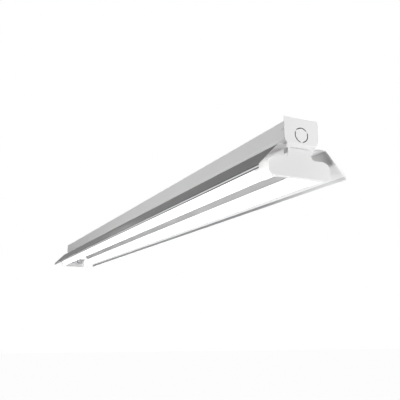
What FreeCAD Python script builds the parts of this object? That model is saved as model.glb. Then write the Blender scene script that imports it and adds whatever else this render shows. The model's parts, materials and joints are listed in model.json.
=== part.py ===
"""Two-lamp reflector light fixture for a ceiling, hung from the top of its channel.

Frame: X runs along the lamps, towards the end with the sprung lampholders.
Y runs across, Z is up, and the origin is the middle of the channel's top face.
All lengths are millimetres.
"""
import FreeCAD
import Part
import math
import os

V = FreeCAD.Vector

# Driving sizes of the whole fixture
fixture_length = 2438.4     # eight feet, end to end of the reflector
channel_width = 95.0
channel_height = 59.0
reflector_width = 241.0
reflector_depth = 125.0     # from the channel's top to the lower rim of the lips
lamp_spacing = 131.2        # between the axes of the two lamps
lamp_drop = 108.6           # from the channel's top to the lamp axes
overrun = 5.0               # how far each cutter runs past what it cuts
same_point = 1e-6           # points closer than this are one point
touch_gap = 0.3             # between pieces that rest on each other
hole_clearance = 0.15       # radial, of a hole round its screw or rivet

# Channel housing, folded from one sheet
channel_sheet = 0.9
channel_bend = 0.9
channel_side = 40.0         # upright part of each side, above its sloped foot
channel_foot_inset = 9.0    # the feet slope in to meet the reflector
channel_flange = 13.0       # turned in from each foot
end_reveal = 3.0            # reflector past the face of the end plate
hanger_hole_inset = 76.2    # from the end of the fixture
hanger_hole_radius = 3.5
slot_inset = 152.4          # from the end of the fixture to the middle of a slot
slot_spacing_y = 50.8
slot_length = 20.0
slot_width = 6.4
supply_hole_radius = 11.1
web_knockout_inset = 609.6
web_knockout_radius = 11.1

# End plates
plate_sheet = 0.9
plate_bend = 0.9
end_rise = 11.5             # near plate above the channel's top; the far plate stops level with it
chin_drop = 7.0
chin_run = 7.5              # the chin slopes back as it drops
end_flange_depth = 13.0
end_flange_margin = 6.0
knockout_radius = 17.5
knockout_slit = 2.4
knockout_drop = 29.0        # centre of the ring below the channel's top
knockout_bridge = 5.0
knockout_bridge_turn = 30.0 # degrees
bridge_count = 3

# Reflector, three sections butted end to end
reflector_sheet = 0.7
reflector_bend = 1.4
reflector_lip = 9.5
reflector_shoulder = 65.5   # half width of the flat middle
end_section_length = 762.0
seam_gap = 0.3
chin_notch_margin = 2.0
splice_length = 44.0
splice_width = 66.0
splice_sheet = 1.0
rivet_radius = 2.0
rivet_head_radius = 4.0
rivet_head_height = 1.4
rivet_inset = 11.0

# Lobed socket plates
socket_sheet = 0.9
socket_bend = 0.9
socket_gap = 2.4            # behind the chin, an open slit
neck_half_width = 32.5
neck_height = 13.0
neck_fillet = 11.0
lobe_top_drop = 25.0        # below the flat of the reflector
lobe_bottom_drop = 71.8
lobe_half_width = 86.0
lobe_top_radius = 20.0
lobe_bottom_radius = 15.0
socket_top_flange = 18.0
socket_bottom_flange = 10.0
neck_flange_depth = 16.0

# Lampholders
holder_radius = 21.2
plunger_guide_length = 25.0  # narrow bore at the back of the housing
mouth_margin = 1.5          # housing past the edge of the lamp's cap
mouth_gap = 0.5             # radial, round the lamp's cap
plunger_bore_radius = 16.5
plunger_running_gap = 0.06
housing_wall = 2.6
housing_front_step = 0.8
plunger_stand = 9.5         # plunger face ahead of its housing at rest, more than its travel
plunger_length = 14.0
plunger_recess = 2.0
plunger_recess_radius = 9.0
plunger_counterbore_radius = 12.6
plunger_counterbore_depth = 6.0
spring_radius = 10.2
spring_wire = 1.3
spring_turns = 4
spring_runs_per_turn = 8
spring_end_gap = 0.3
fixed_length = 16.0         # of the far lampholders, which have no plunger
foot_width = 16.0           # block under each lampholder, screwed to the flange of its plate
foot_depth = 9.0
foot_screw_length = 5.5
entry_width = 12.0          # boss on the inner flank, where the lead goes in
entry_height = 9.0
entry_stand = 1.2
entry_inset = 20.0          # from the socket plate to the middle of a near boss
holder_ring_count = 3
holder_ring_width = 1.6
holder_ring_depth = 0.7
pin_hole_gap = 0.3
pin_hole_depth = 8.9

# Lamps
lamp_radius = 19.05
glass_wall = 0.9
cap_length = 24.0
cap_wall = 0.5
cap_fit = 0.1
cap_edge = 2.2
pin_radius = 4.0
pin_length = 8.0
insulator_radius = 9.5
insulator_thickness = 1.5

# Quarter-turn latches that hold the reflector to the channel
latch_shank_radius = 3.0
latch_hole_gap = 0.5
latch_disc_radius = 9.5
latch_disc_thickness = 1.8
latch_wing_length = 30.0
latch_wing_width = 4.0
latch_wing_height = 9.0
latch_wing_end_radius = 1.9
latch_bar_length = 68.0
latch_bar_width = 12.0
latch_bar_thickness = 1.6
latch_washer_radius = 8.0
latch_washer_thickness = 0.8
latch_peen_radius = 4.2
latch_peen_height = 1.0

# Ballast and its fastening
ballast_seam_gap = 127.2     # from the far seam of the reflector to the middle of the ballast
ballast_length = 241.0
ballast_width = 60.0
ballast_height = 36.0
ballast_edge = 4.0
ballast_base_sheet = 1.2
ballast_ear = 14.0
ballast_slot_length = 9.0
ballast_slot_width = 5.0

# Leads, clips and connectors
lead_radius = 1.2
lead_bend = 7.0
lead_lane_low = 7.0         # below the channel's top
lead_lane_step = 3.6
lead_wall_gap = 5.0         # outermost lead from the channel's side
grommet_x_inset = 37.0      # from the face of the end plate
grommet_y = 12.0
grommet_hole_radius = 5.2
grommet_flange_radius = 7.2
grommet_flange = 1.5
grommet_bore_radius = 3.0
clip_spacing = 420.0
clip_width = 8.0
clip_sheet = 0.8
clip_gap = 0.5
connector_length = 24.0
connector_radius = 5.6
connector_tip_radius = 3.6
connector_pitch = 15.0
connector_x = 70.0

# Screws
screw_radius = 2.1
screw_head_radius = 3.6
screw_head_height = 1.8
screw_length = 8.0
hex_sides = 6

# Places worked out from the sizes above
half_length = fixture_length / 2
half_channel = channel_width / 2
end_face_x = half_length - end_reveal
plate_back_x = end_face_x - plate_sheet
channel_end_x = plate_back_x - touch_gap
flat_top = -channel_height
flat_bottom = flat_top - reflector_sheet
face_foot = flat_top + chin_drop
foot_half = half_channel - channel_foot_inset
plate_foot = flat_bottom - lobe_bottom_drop + socket_sheet
seam_x = half_length - end_section_length
socket_face_x = end_face_x - chin_run - socket_gap
holder_back_x = socket_face_x - socket_sheet
guide_front_x = holder_back_x - plunger_guide_length
plunger_face_x = guide_front_x - plunger_stand
lamp_near_x = plunger_face_x - touch_gap
housing_front_x = lamp_near_x - cap_length - mouth_margin
fixed_front_x = fixed_length - holder_back_x
lamp_far_x = fixed_front_x + touch_gap
lamp_y = lamp_spacing / 2
grommet_x = end_face_x - grommet_x_inset
screw_inset = end_flange_depth / 2
ballast_centre_x = ballast_seam_gap - seam_x
latch_outer_x = (half_length + seam_x) / 2
latch_inner_x = seam_x / 2
latch_places = (latch_outer_x, latch_inner_x, -latch_inner_x, -latch_outer_x)
left, right = -1, 1
near, far = 1, -1


def on_yz(x):
    """Plane across the fixture, at x."""
    return lambda u, v: V(x, u, v)


def on_xz(y):
    """Plane along the fixture, upright, at y."""
    return lambda u, v: V(u, y, v)


def on_xy(z):
    """Level plane, at z."""
    return lambda u, v: V(u, v, z)


def line_edge(start, end):
    return [Part.LineSegment(start, end).toShape()] if start.distanceToPoint(end) > same_point else []


def turn_at(before, corner, after):
    """Unit directions into and out of a corner, and its signed turn."""
    into = V(corner[0] - before[0], corner[1] - before[1], 0).normalize()
    out = V(after[0] - corner[0], after[1] - corner[1], 0).normalize()
    return into, out, math.atan2(into.cross(out).z, into.dot(out))


def corner_arc(before, corner, after, radius, side):
    """Start, middle and end of the arc at a corner, moved sideways by side (left is positive)."""
    into, out, turn = turn_at(before, corner, after)
    reach = radius * math.tan(abs(turn) / 2)
    hand = math.copysign(1, turn)
    start = V(corner[0], corner[1], 0) - into * reach
    centre = start + V(-into.y, into.x, 0) * (hand * radius)
    offset = radius - hand * side
    points = []
    for share in (0, 0.5, 1):
        angle = turn * share
        arm = V(into.y, -into.x, 0) * (hand * offset)
        points.append(centre + V(arm.x * math.cos(angle) - arm.y * math.sin(angle),
                                 arm.x * math.sin(angle) + arm.y * math.cos(angle), 0))
    return points


def folded_sheet(points, thickness, bend, place):
    """Face of a folded sheet: points are the middle line, bend is the inner radius of each fold."""
    half = thickness / 2
    sides = []
    for side in (half, -half):
        first = turn_at((2 * points[0][0] - points[1][0], 2 * points[0][1] - points[1][1]),
                        points[0], points[1])[1]
        last = turn_at(points[-2], points[-1],
                       (2 * points[-1][0] - points[-2][0], 2 * points[-1][1] - points[-2][1]))[0]
        chain = [[V(points[0][0] - first.y * side, points[0][1] + first.x * side, 0)]]
        for before, corner, after in zip(points, points[1:], points[2:]):
            chain.append(corner_arc(before, corner, after, bend + half, side))
        chain.append([V(points[-1][0] - last.y * side, points[-1][1] + last.x * side, 0)])
        sides.append(chain)
    back = [list(reversed(piece)) for piece in reversed(sides[1])]
    return closed_face(sides[0] + back, place)


def rounded_plate(corners, place):
    """Face with (u, v, radius) corners; a corner with no radius stays sharp."""
    chain = []
    for index, (u, v, radius) in enumerate(corners):
        before = corners[index - 1][:2]
        after = corners[(index + 1) % len(corners)][:2]
        if radius:
            chain.append(corner_arc(before, (u, v), after, radius, 0))
        else:
            chain.append([V(u, v, 0)])
    return closed_face(chain, place)


def closed_face(chain, place):
    """Face through single points and three-point arcs, joined by straight edges."""
    edges = []
    for piece, following in zip(chain, chain[1:] + chain[:1]):
        spots = [place(spot.x, spot.y) for spot in piece]
        if len(spots) > 1:
            edges.append(Part.Arc(*spots).toShape())
        edges += line_edge(spots[-1], place(following[0].x, following[0].y))
    return Part.Face(Part.Wire(edges))


def rectangle(u0, u1, v0, v1, place, radius=0):
    corners = [(u0, v0, radius), (u1, v0, radius), (u1, v1, radius), (u0, v1, radius)]
    return rounded_plate(corners, place)


def block(x0, x1, y0, y1, z0, z1):
    return Part.makeBox(x1 - x0, y1 - y0, z1 - z0, V(x0, y0, z0))


def upright_rod(radius, x, y, z0, z1):
    return Part.makeCylinder(radius, z1 - z0, V(x, y, z0))


def rod_along_x(radius, y, z, x0, x1):
    return Part.makeCylinder(radius, x1 - x0, V(x0, y, z), V(1, 0, 0))


def rod_along_y(radius, x, z, y0, y1):
    return Part.makeCylinder(radius, y1 - y0, V(x, y0, z), V(0, 1, 0))


def upright_slot(x, y, length, width, z0, z1):
    """Cutter for a slot along X with round ends."""
    face = rectangle(x - length / 2, x + length / 2, y - width / 2, y + width / 2,
                     on_xy(z0), width / 2)
    return face.extrude(V(0, 0, z1 - z0))


def turned(points, y, z):
    """Solid turned about a line along X through (y, z), from (x, radius) points."""
    face = Part.Face(Part.makePolygon([V(x, y, z + r) for x, r in points + points[:1]]))
    return face.revolve(V(0, y, z), V(1, 0, 0), 360)


def mirrored_x(shape):
    return shape.mirror(V(0, 0, 0), V(1, 0, 0))


def at_end(shape, end):
    """The shape drawn at the near end, or its mirror image at the far end."""
    return shape if end == near else mirrored_x(shape)


def at_side(shape, side):
    """The shape drawn on the right, or its mirror image on the left."""
    return shape if side == right else shape.mirror(V(0, 0, 0), V(0, 1, 0))


def tangent_arc(before, corner, after, reach):
    """Arc from one run to the next that touches both at reach from their corner."""
    into, out = (corner - before).normalize(), (after - corner).normalize()
    depth = reach * math.tan(into.getAngle(out) / 4)
    middle = corner + (out - into).normalize() * depth
    return Part.Arc(corner - into * reach, middle, corner + out * reach).toShape()


def round_wire(edges, radius):
    """Solid wire along straight edges and arcs: a tube on each edge, a piece of a ring on each arc."""
    skins, ends = [], []
    for edge in edges:
        start, stop = edge.valueAt(edge.FirstParameter), edge.valueAt(edge.LastParameter)
        circle = Part.makeCircle(radius, start, edge.tangentAt(edge.FirstParameter))
        ends += [circle, Part.makeCircle(radius, stop, edge.tangentAt(edge.LastParameter))]
        if hasattr(edge.Curve, "Center"):
            turn = math.degrees(edge.LastParameter - edge.FirstParameter)
            skins.append(circle.revolve(edge.Curve.Center, edge.Curve.Axis, turn))
        else:
            skins.append(circle.extrude(stop - start))
    caps = [Part.Face(Part.Wire(ends[0])), Part.Face(Part.Wire(ends[-1]))]
    skin = Part.makeShell(skins + caps)
    skin.sewShape()
    solid = Part.Solid(skin.Shells[0])
    if solid.Volume < 0:
        solid.reverse()
    return solid


def cut_all(shape, cutters):
    return shape.cut(Part.makeCompound(cutters)) if cutters else shape


def ring_slit(radius, slit, thickness, bridge, first_turn):
    """Cutter for a knockout: a ring about Z, broken by bridges that hold the slug."""
    depth = thickness + 2 * overrun
    ring = Part.makeCylinder(radius + slit / 2, depth).cut(Part.makeCylinder(radius - slit / 2, depth))
    for index in range(bridge_count):
        bar = Part.makeBox(radius + overrun, bridge, depth, V(0, -bridge / 2, 0))
        bar.rotate(V(0, 0, 0), V(0, 0, 1), first_turn + index * 360 / bridge_count)
        ring = ring.cut(bar)
    ring.translate(V(0, 0, -overrun))
    return ring


def screw(length, head_radius=screw_head_radius, sides=hex_sides):
    """Hexagon screw along +Z, seat of the head at zero."""
    corners = [V(head_radius * math.cos(math.radians(360 / sides * index)),
                 head_radius * math.sin(math.radians(360 / sides * index)), -screw_head_height)
               for index in range(sides + 1)]
    head = Part.Face(Part.makePolygon(corners)).extrude(V(0, 0, screw_head_height))
    shank = Part.makeCylinder(screw_radius, length - screw_radius, V(0, 0, 0))
    tip = Part.makeCone(screw_radius, screw_radius / 2, screw_radius, V(0, 0, length - screw_radius))
    return head.fuse([shank, tip]).removeSplitter()


def aimed(shape, place, direction):
    """Turn a shape from +Z to the direction, then move it to its place."""
    result = shape.copy()
    turn = FreeCAD.Rotation(V(0, 0, 1), direction)
    result.Placement = FreeCAD.Placement(place, turn).multiply(result.Placement)
    return result


def end_screw_places():
    """Seats of the end plate's screws on the channel's sides, with their directions."""
    height = -channel_side / 2
    return [(V(end * (channel_end_x - screw_inset), side * half_channel, height), V(0, -side, 0))
            for end in (near, far) for side in (left, right)]


def socket_screw_places():
    x = holder_back_x - socket_top_flange / 2
    return [(end * x, side * neck_half_width / 2) for end in (near, far) for side in (left, right)]


def ballast_screw_places():
    reach = ballast_length / 2 + ballast_ear / 2
    return [ballast_centre_x - reach, ballast_centre_x + reach]


def chin_relief():
    """Cutter that slopes the channel's lower end, so that it stays behind the chin."""
    reach = (chin_drop + overrun) / chin_drop
    top_x, low = channel_end_x - touch_gap, face_foot - chin_drop * reach
    corners = [(top_x, face_foot, 0), (top_x - chin_run * reach, low, 0), (half_length, low, 0),
               (half_length, face_foot, 0)]
    return rounded_plate(corners, on_xz(-channel_width)).extrude(V(0, 2 * channel_width, 0))


def channel_housing():
    """Folded section: top web, upright sides, feet that slope in, and a flange turned in from each."""
    half_sheet = channel_sheet / 2
    side, foot = half_channel - half_sheet, foot_half - half_sheet
    half = [(side, -half_sheet), (side, -channel_side), (foot, flat_top + half_sheet),
            (foot - channel_flange, flat_top + half_sheet)]
    section = [(-y, z) for y, z in reversed(half)] + half
    shell = folded_sheet(section, channel_sheet, channel_bend, on_yz(-channel_end_x))
    shell = shell.extrude(V(2 * channel_end_x, 0, 0))
    cutters = [upright_rod(supply_hole_radius, 0, 0, -overrun, overrun)]
    cutters += [at_end(chin_relief(), end) for end in (near, far)]
    for end in (near, far):
        hanger_x = end * (half_length - hanger_hole_inset)
        cutters.append(upright_rod(hanger_hole_radius, hanger_x, 0, -overrun, overrun))
        slug = ring_slit(web_knockout_radius, knockout_slit / 2, channel_sheet, knockout_bridge, 0)
        slug.translate(V(end * (half_length - web_knockout_inset), 0, -channel_sheet))
        cutters.append(slug)
        for row in (left, right):
            cutters.append(upright_slot(end * (half_length - slot_inset), row * slot_spacing_y / 2,
                                        slot_length, slot_width, -overrun, overrun))
    for place, direction in end_screw_places():
        start = place - direction * overrun
        cutters.append(Part.makeCylinder(screw_radius + hole_clearance, 2 * overrun, start, direction))
    for x in ballast_screw_places():
        cutters.append(upright_rod(screw_radius + hole_clearance, x, 0, -overrun, overrun))
    cutters.append(upright_rod(screw_radius + hole_clearance, ground_screw_x(), 0, -overrun, overrun))
    return cut_all(shell, cutters)


def end_plate(end):
    """Flat face with a knockout ring, a sloped chin with tapered corners, and two side flanges."""
    mid_x = end_face_x - plate_sheet / 2
    high = end_rise if end == near else 0
    profile = [(mid_x, high), (mid_x, face_foot), (mid_x - chin_run, flat_top)]
    sheet = folded_sheet(profile, plate_sheet, plate_bend, on_xz(-half_channel))
    sheet = sheet.extrude(V(0, channel_width, 0))
    slope = channel_foot_inset / (channel_height - channel_side)
    low = flat_top - overrun
    half = [(half_channel, high + overrun, 0), (half_channel, -channel_side, 0),
            (foot_half - slope * overrun, low, 0)]
    outline = half + [(-y, z, r) for y, z, r in reversed(half)]
    back_x = end_face_x - chin_run - 2 * plate_sheet
    trim = rounded_plate(outline, on_yz(back_x)).extrude(V(end_face_x + overrun - back_x, 0, 0))
    plate = sheet.common(trim)
    inner = half_channel - channel_sheet - plate_sheet / 2
    back = channel_end_x - end_flange_depth
    flanges = folded_sheet([(back, -inner), (mid_x, -inner), (mid_x, inner), (back, inner)],
                           plate_sheet, plate_bend, on_xy(end_flange_margin - channel_side))
    flanges = flanges.extrude(V(0, 0, channel_side - 2 * end_flange_margin))
    plate = plate.fuse(flanges).removeSplitter()
    ring = ring_slit(knockout_radius, knockout_slit, plate_sheet, knockout_bridge, knockout_bridge_turn)
    ring.rotate(V(0, 0, 0), V(0, 0, 1), 90)
    cutters = [aimed(ring, V(plate_back_x, 0, -knockout_drop), V(1, 0, 0))]
    cutters.append(rod_along_y(screw_radius + hole_clearance, channel_end_x - screw_inset,
                               -channel_side / 2, -channel_width, channel_width))
    return at_end(cut_all(plate, cutters), end)


def end_plate_screws():
    return Part.makeCompound([aimed(screw(screw_length), place, direction)
                              for place, direction in end_screw_places()])


def reflector_section():
    """Middle line of the reflector's cross-section, from lip to lip."""
    rim = (reflector_width - reflector_sheet) / 2
    level = flat_top - reflector_sheet / 2
    half = [(reflector_shoulder, level), (rim, reflector_lip - reflector_depth), (rim, -reflector_depth)]
    return [(-y, z) for y, z in reversed(half)] + half


def reflector_piece(x0, x1):
    """One length of the reflector, with the holes for latches, screws, leads and rivets."""
    sheet = folded_sheet(reflector_section(), reflector_sheet, reflector_bend, on_yz(x0))
    sheet = sheet.extrude(V(x1 - x0, 0, 0))
    z0, z1 = flat_bottom - overrun, flat_top + overrun
    holes = [(x, 0, latch_shank_radius + latch_hole_gap) for x in latch_places]
    holes += [(x, y, screw_radius + hole_clearance) for x, y in socket_screw_places()]
    holes += [(x, y, rivet_radius + hole_clearance) for x, y in rivet_places()]
    holes += [(end * grommet_x, side * grommet_y, grommet_hole_radius)
              for end in (near, far) for side in (left, right)]
    cutters = [upright_rod(radius, x, y, z0, z1) for x, y, radius in holes if x0 < x < x1]
    notch_x = socket_face_x
    notch_y = foot_half + chin_notch_margin
    for end in (near, far):
        notch = block(notch_x, half_length + overrun, -notch_y, notch_y, z0, z1)
        cutters.append(at_end(notch, end))
    return cut_all(sheet, cutters)


def splice_plate(end):
    """Flat strap under the seam between two reflector sections."""
    x = end * seam_x
    strap = rectangle(x - splice_length / 2, x + splice_length / 2, -splice_width / 2, splice_width / 2,
                      on_xy(flat_bottom - splice_sheet), rivet_head_radius)
    strap = strap.extrude(V(0, 0, splice_sheet))
    holes = [upright_rod(rivet_radius + hole_clearance, rx, ry, flat_bottom - splice_sheet - overrun,
                         flat_top) for rx, ry in rivet_places() if abs(rx - x) < splice_length]
    return cut_all(strap, holes)


def rivet_places():
    reach_x, reach_y = splice_length / 2 - rivet_inset, splice_width / 2 - rivet_inset
    return [(end * seam_x + along * reach_x, side * reach_y)
            for end in (near, far) for along in (-1, 1) for side in (left, right)]


def splice_rivets():
    """Domed rivets through the splice plates and the reflector."""
    low = flat_bottom - splice_sheet
    ball = (rivet_head_radius ** 2 + rivet_head_height ** 2) / (2 * rivet_head_height)
    rivets = []
    for x, y in rivet_places():
        head = Part.makeSphere(ball, V(x, y, low - rivet_head_height + ball))
        head = head.common(block(x - ball, x + ball, y - ball, y + ball, low - rivet_head_height, low))
        shank = upright_rod(rivet_radius, x, y, low - rivet_head_height / 2, flat_top)
        upset = Part.makeCone(rivet_radius * 1.5, rivet_radius, rivet_head_height, V(x, y, flat_top))
        rivets.append(head.fuse([shank, upset]).removeSplitter())
    return Part.makeCompound(rivets)


def socket_outline():
    """Front outline of the lobed plate: a neck that spreads into two rounded lobes."""
    half = [(neck_half_width, flat_bottom, 0),
            (neck_half_width, flat_bottom - lobe_top_drop, neck_fillet),
            (lobe_half_width, flat_bottom - lobe_top_drop, lobe_top_radius),
            (lobe_half_width, flat_bottom - lobe_bottom_drop, lobe_bottom_radius)]
    return [(-y, z, r) for y, z, r in reversed(half)] + half


def socket_plate(end):
    """Lobed plate that carries the lampholders, flanged at its top, its foot and its neck."""
    mid_x = socket_face_x - socket_sheet / 2
    high = flat_bottom - socket_sheet / 2
    low = flat_bottom - lobe_bottom_drop + socket_sheet / 2
    profile = [(mid_x - socket_top_flange, high), (mid_x, high), (mid_x, low),
               (mid_x - socket_bottom_flange, low)]
    sheet = folded_sheet(profile, socket_sheet, socket_bend, on_xz(-lobe_half_width - overrun))
    sheet = sheet.extrude(V(0, 2 * (lobe_half_width + overrun), 0))
    back_x = socket_face_x - socket_top_flange - overrun
    trim = rounded_plate(socket_outline(), on_yz(back_x))
    plate = sheet.common(trim.extrude(V(socket_face_x + overrun - back_x, 0, 0)))
    wing = neck_half_width - socket_sheet / 2
    neck = folded_sheet([(mid_x - neck_flange_depth, -wing), (mid_x, -wing), (mid_x, wing),
                         (mid_x - neck_flange_depth, wing)], socket_sheet, socket_bend,
                        on_xy(flat_bottom - neck_height))
    plate = plate.fuse(neck.extrude(V(0, 0, neck_height - 2 * socket_sheet))).removeSplitter()
    cutters = [upright_rod(screw_radius + hole_clearance, x, y, high - overrun, flat_top)
               for x, y in socket_screw_places() if x > 0]
    cutters += [upright_rod(screw_radius + hole_clearance, x, y, low - overrun, low + overrun)
                for x, y in foot_screw_places() if x > 0]
    return at_end(cut_all(plate, cutters), end)


def socket_plate_screws():
    seat = flat_bottom - socket_sheet
    return Part.makeCompound([aimed(screw(screw_length), V(x, y, seat), V(0, 0, 1))
                              for x, y in socket_screw_places()])


def foot_screw_places():
    x = holder_back_x - socket_bend - foot_depth / 2
    return [(end * x, side * lamp_y) for end in (near, far) for side in (left, right)]


def holder_block():
    """Foot of the near right lampholder, on the flange of its plate."""
    back = holder_back_x - socket_bend
    return block(back - foot_depth, back, lamp_y - foot_width / 2, lamp_y + foot_width / 2,
                 plate_foot, -lamp_drop)


def holder_entry(x):
    """Boss on the inner flank of the right lampholder, where its lead goes in."""
    return block(x - entry_width / 2, x + entry_width / 2, lamp_y - holder_radius - entry_stand, lamp_y,
                 -lamp_drop - entry_height / 2, entry_height / 2 - lamp_drop)


def holder_rings(x0, length, y):
    """Cutters for the shallow grooves round a lampholder."""
    pitch = length / (holder_ring_count + 1)
    rings = []
    for index in range(holder_ring_count):
        x = x0 + (index + 1) * pitch - holder_ring_width / 2
        outer = rod_along_x(holder_radius + overrun, y, -lamp_drop, x, x + holder_ring_width)
        inner = rod_along_x(holder_radius - holder_ring_depth, y, -lamp_drop, x, x + holder_ring_width)
        rings.append(outer.cut(inner))
    return rings


def finished_holder(body, x0, length, entry_x, hollow):
    """Groove a lampholder's body, join its foot and its boss, then clear its hollow and screw hole."""
    body = cut_all(body, holder_rings(x0, length, lamp_y))
    x = foot_screw_places()[0][0]
    hole = upright_rod(screw_radius + hole_clearance, x, lamp_y, plate_foot - overrun,
                       plate_foot + foot_screw_length)
    return body.fuse([holder_block(), holder_entry(entry_x)]).removeSplitter().cut(hollow.fuse(hole))


def plunger_housing(side):
    """Deep cup on the near socket plate: a wide mouth round the lamp's cap, and a bore for the plunger."""
    edge = housing_front_step
    cup = turned([(housing_front_x, 0), (housing_front_x, holder_radius - edge),
                  (housing_front_x + edge, holder_radius), (holder_back_x, holder_radius),
                  (holder_back_x, 0)], lamp_y, -lamp_drop)
    mouth = lamp_radius + cap_fit + cap_wall + mouth_gap
    hollow = turned([(housing_front_x - overrun, 0), (housing_front_x - overrun, mouth),
                     (guide_front_x, mouth), (guide_front_x, plunger_bore_radius),
                     (holder_back_x - housing_wall, plunger_bore_radius),
                     (holder_back_x - housing_wall, 0)], lamp_y, -lamp_drop)
    body = finished_holder(cup, guide_front_x, plunger_guide_length, holder_back_x - entry_inset, hollow)
    return at_side(body, side)


def plunger(side):
    """Sliding contact carrier: a dished face with the pin hole, and a seat for the spring behind."""
    radius = plunger_bore_radius - plunger_running_gap
    face, back = plunger_face_x, plunger_face_x + plunger_length
    hole = pin_radius + pin_hole_gap
    lip = plunger_recess / 2
    body = turned([(face + pin_hole_depth, 0), (face + pin_hole_depth, hole), (face + plunger_recess, hole),
                   (face + plunger_recess, plunger_recess_radius), (face, plunger_recess_radius + lip),
                   (face, radius - lip), (face + lip, radius), (back, radius),
                   (back, plunger_counterbore_radius),
                   (back - plunger_counterbore_depth, plunger_counterbore_radius),
                   (back - plunger_counterbore_depth, hole + plunger_recess),
                   (back, hole + plunger_recess), (back, 0)], lamp_y, -lamp_drop)
    return at_side(body, side)


def plunger_spring(side):
    """Coil between the plunger's seat and the back wall of its housing: arcs that touch a helix of runs."""
    start = plunger_face_x + plunger_length - plunger_counterbore_depth + spring_end_gap + spring_wire
    end = holder_back_x - housing_wall - spring_end_gap - spring_wire
    run_turn = 2 * math.pi / spring_runs_per_turn
    corner_radius = spring_radius / math.cos(run_turn / 2)
    count = spring_turns * spring_runs_per_turn
    points = [V(start + (end - start) * (index - 1 / 2) / count,
                lamp_y + corner_radius * math.cos(index * run_turn),
                corner_radius * math.sin(index * run_turn) - lamp_drop) for index in range(count + 2)]
    edges = [tangent_arc(*spots, spots[0].distanceToPoint(spots[1]) / 2)
             for spots in zip(points, points[1:], points[2:])]
    return at_side(round_wire(edges, spring_wire / 2), side)


def fixed_lampholder(side):
    """Shallow round lampholder of the far end, with a dished face and a blind pin hole."""
    edge = housing_front_step
    front = -fixed_front_x
    hole = pin_radius + pin_hole_gap
    cup = turned([(front, 0), (front, holder_radius - edge), (front + edge, holder_radius),
                  (holder_back_x, holder_radius), (holder_back_x, 0)], lamp_y, -lamp_drop)
    hollow = rod_along_x(hole, lamp_y, -lamp_drop, front - overrun, front + pin_hole_depth)
    dish = Part.makeCone(plunger_recess_radius, hole, plunger_recess,
                         V(front, lamp_y, -lamp_drop), V(1, 0, 0))
    body = finished_holder(cup, front, fixed_length, front + entry_width / 2, hollow.fuse(dish))
    return at_side(mirrored_x(body), side)


def lampholder_screws():
    seat = plate_foot - socket_sheet
    return Part.makeCompound([aimed(screw(foot_screw_length), V(x, y, seat), V(0, 0, 1))
                              for x, y in foot_screw_places()])


def lamp_tube(side):
    """Sealed glass tube, hollow inside, with rounded ends under the caps."""
    y = side * lamp_y
    inset = cap_wall + insulator_thickness + cap_fit
    x0, x1 = lamp_far_x + inset, lamp_near_x - inset
    shoulder = lamp_radius / 3
    outer = [(x0, 0), (x0, lamp_radius - shoulder), (x0 + shoulder, lamp_radius),
             (x1 - shoulder, lamp_radius), (x1, lamp_radius - shoulder), (x1, 0)]
    wall = glass_wall
    inner = [(x0 + wall, 0), (x0 + wall, lamp_radius - shoulder), (x0 + shoulder, lamp_radius - wall),
             (x1 - shoulder, lamp_radius - wall), (x1 - wall, lamp_radius - shoulder), (x1 - wall, 0)]
    return turned(outer, y, -lamp_drop).cut(turned(inner, y, -lamp_drop))


def lamp_cap(face_x, inward, y):
    """Thin metal cap drawn over one end of the tube; inward is the way to the lamp's middle."""
    outer = lamp_radius + cap_fit + cap_wall
    skirt = face_x + inward * cap_length
    floor = face_x + inward * cap_wall
    edge = face_x + inward * cap_edge
    hole = pin_radius + cap_fit
    return turned([(face_x, hole), (face_x, outer - cap_edge), (edge, outer), (skirt, outer),
                   (skirt, outer - cap_wall), (edge, outer - cap_wall), (floor, outer - cap_edge),
                   (floor, hole)], y, -lamp_drop)


def lamp_caps(side):
    y = side * lamp_y
    return Part.makeCompound([lamp_cap(lamp_near_x, -1, y), lamp_cap(lamp_far_x, 1, y)])


def lamp_insulators(side):
    """Disc inside each cap that keeps the pin off the metal."""
    y = side * lamp_y
    discs = []
    for face_x, inward in ((lamp_near_x, -1), (lamp_far_x, 1)):
        start = face_x + inward * cap_wall
        end = start + inward * insulator_thickness
        hole = pin_radius + cap_fit
        discs.append(turned([(start, hole), (start, insulator_radius), (end, insulator_radius),
                             (end, hole)], y, -lamp_drop))
    return Part.makeCompound(discs)


def lamp_pins(side):
    """Single round pin of each cap, chamfered at its tip."""
    y = side * lamp_y
    pins = []
    for face_x, outward in ((lamp_near_x, 1), (lamp_far_x, -1)):
        root = face_x - outward * (cap_wall + insulator_thickness)
        tip = face_x + outward * pin_length
        bevel = tip - outward * pin_radius / 4
        pins.append(turned([(root, 0), (root, pin_radius), (bevel, pin_radius),
                            (tip, pin_radius * 3 / 4), (tip, 0)], y, -lamp_drop))
    return Part.makeCompound(pins)


def latch_heights():
    """Underside and top of the cross bar, then the underside of the knob's disc."""
    bar_low = flat_top + channel_sheet + touch_gap
    disc_top = flat_bottom - latch_washer_thickness
    return bar_low, bar_low + latch_bar_thickness, disc_top - latch_disc_thickness


def latch_knob(x):
    """Winged knob under the reflector, one piece with the shank that carries the bar."""
    bar_low, bar_top, disc_low = latch_heights()
    disc = upright_rod(latch_disc_radius, x, 0, disc_low, disc_low + latch_disc_thickness)
    wing = rectangle(x - latch_wing_width / 2, x + latch_wing_width / 2, -latch_wing_length / 2,
                     latch_wing_length / 2, on_xy(disc_low - latch_wing_height), latch_wing_end_radius)
    wing = wing.extrude(V(0, 0, latch_wing_height))
    shank = upright_rod(latch_shank_radius, x, 0, disc_low, bar_top)
    peen = Part.makeCone(latch_peen_radius, latch_shank_radius, latch_peen_height, V(x, 0, bar_top))
    return disc.fuse([wing, shank, peen]).removeSplitter()


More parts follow.
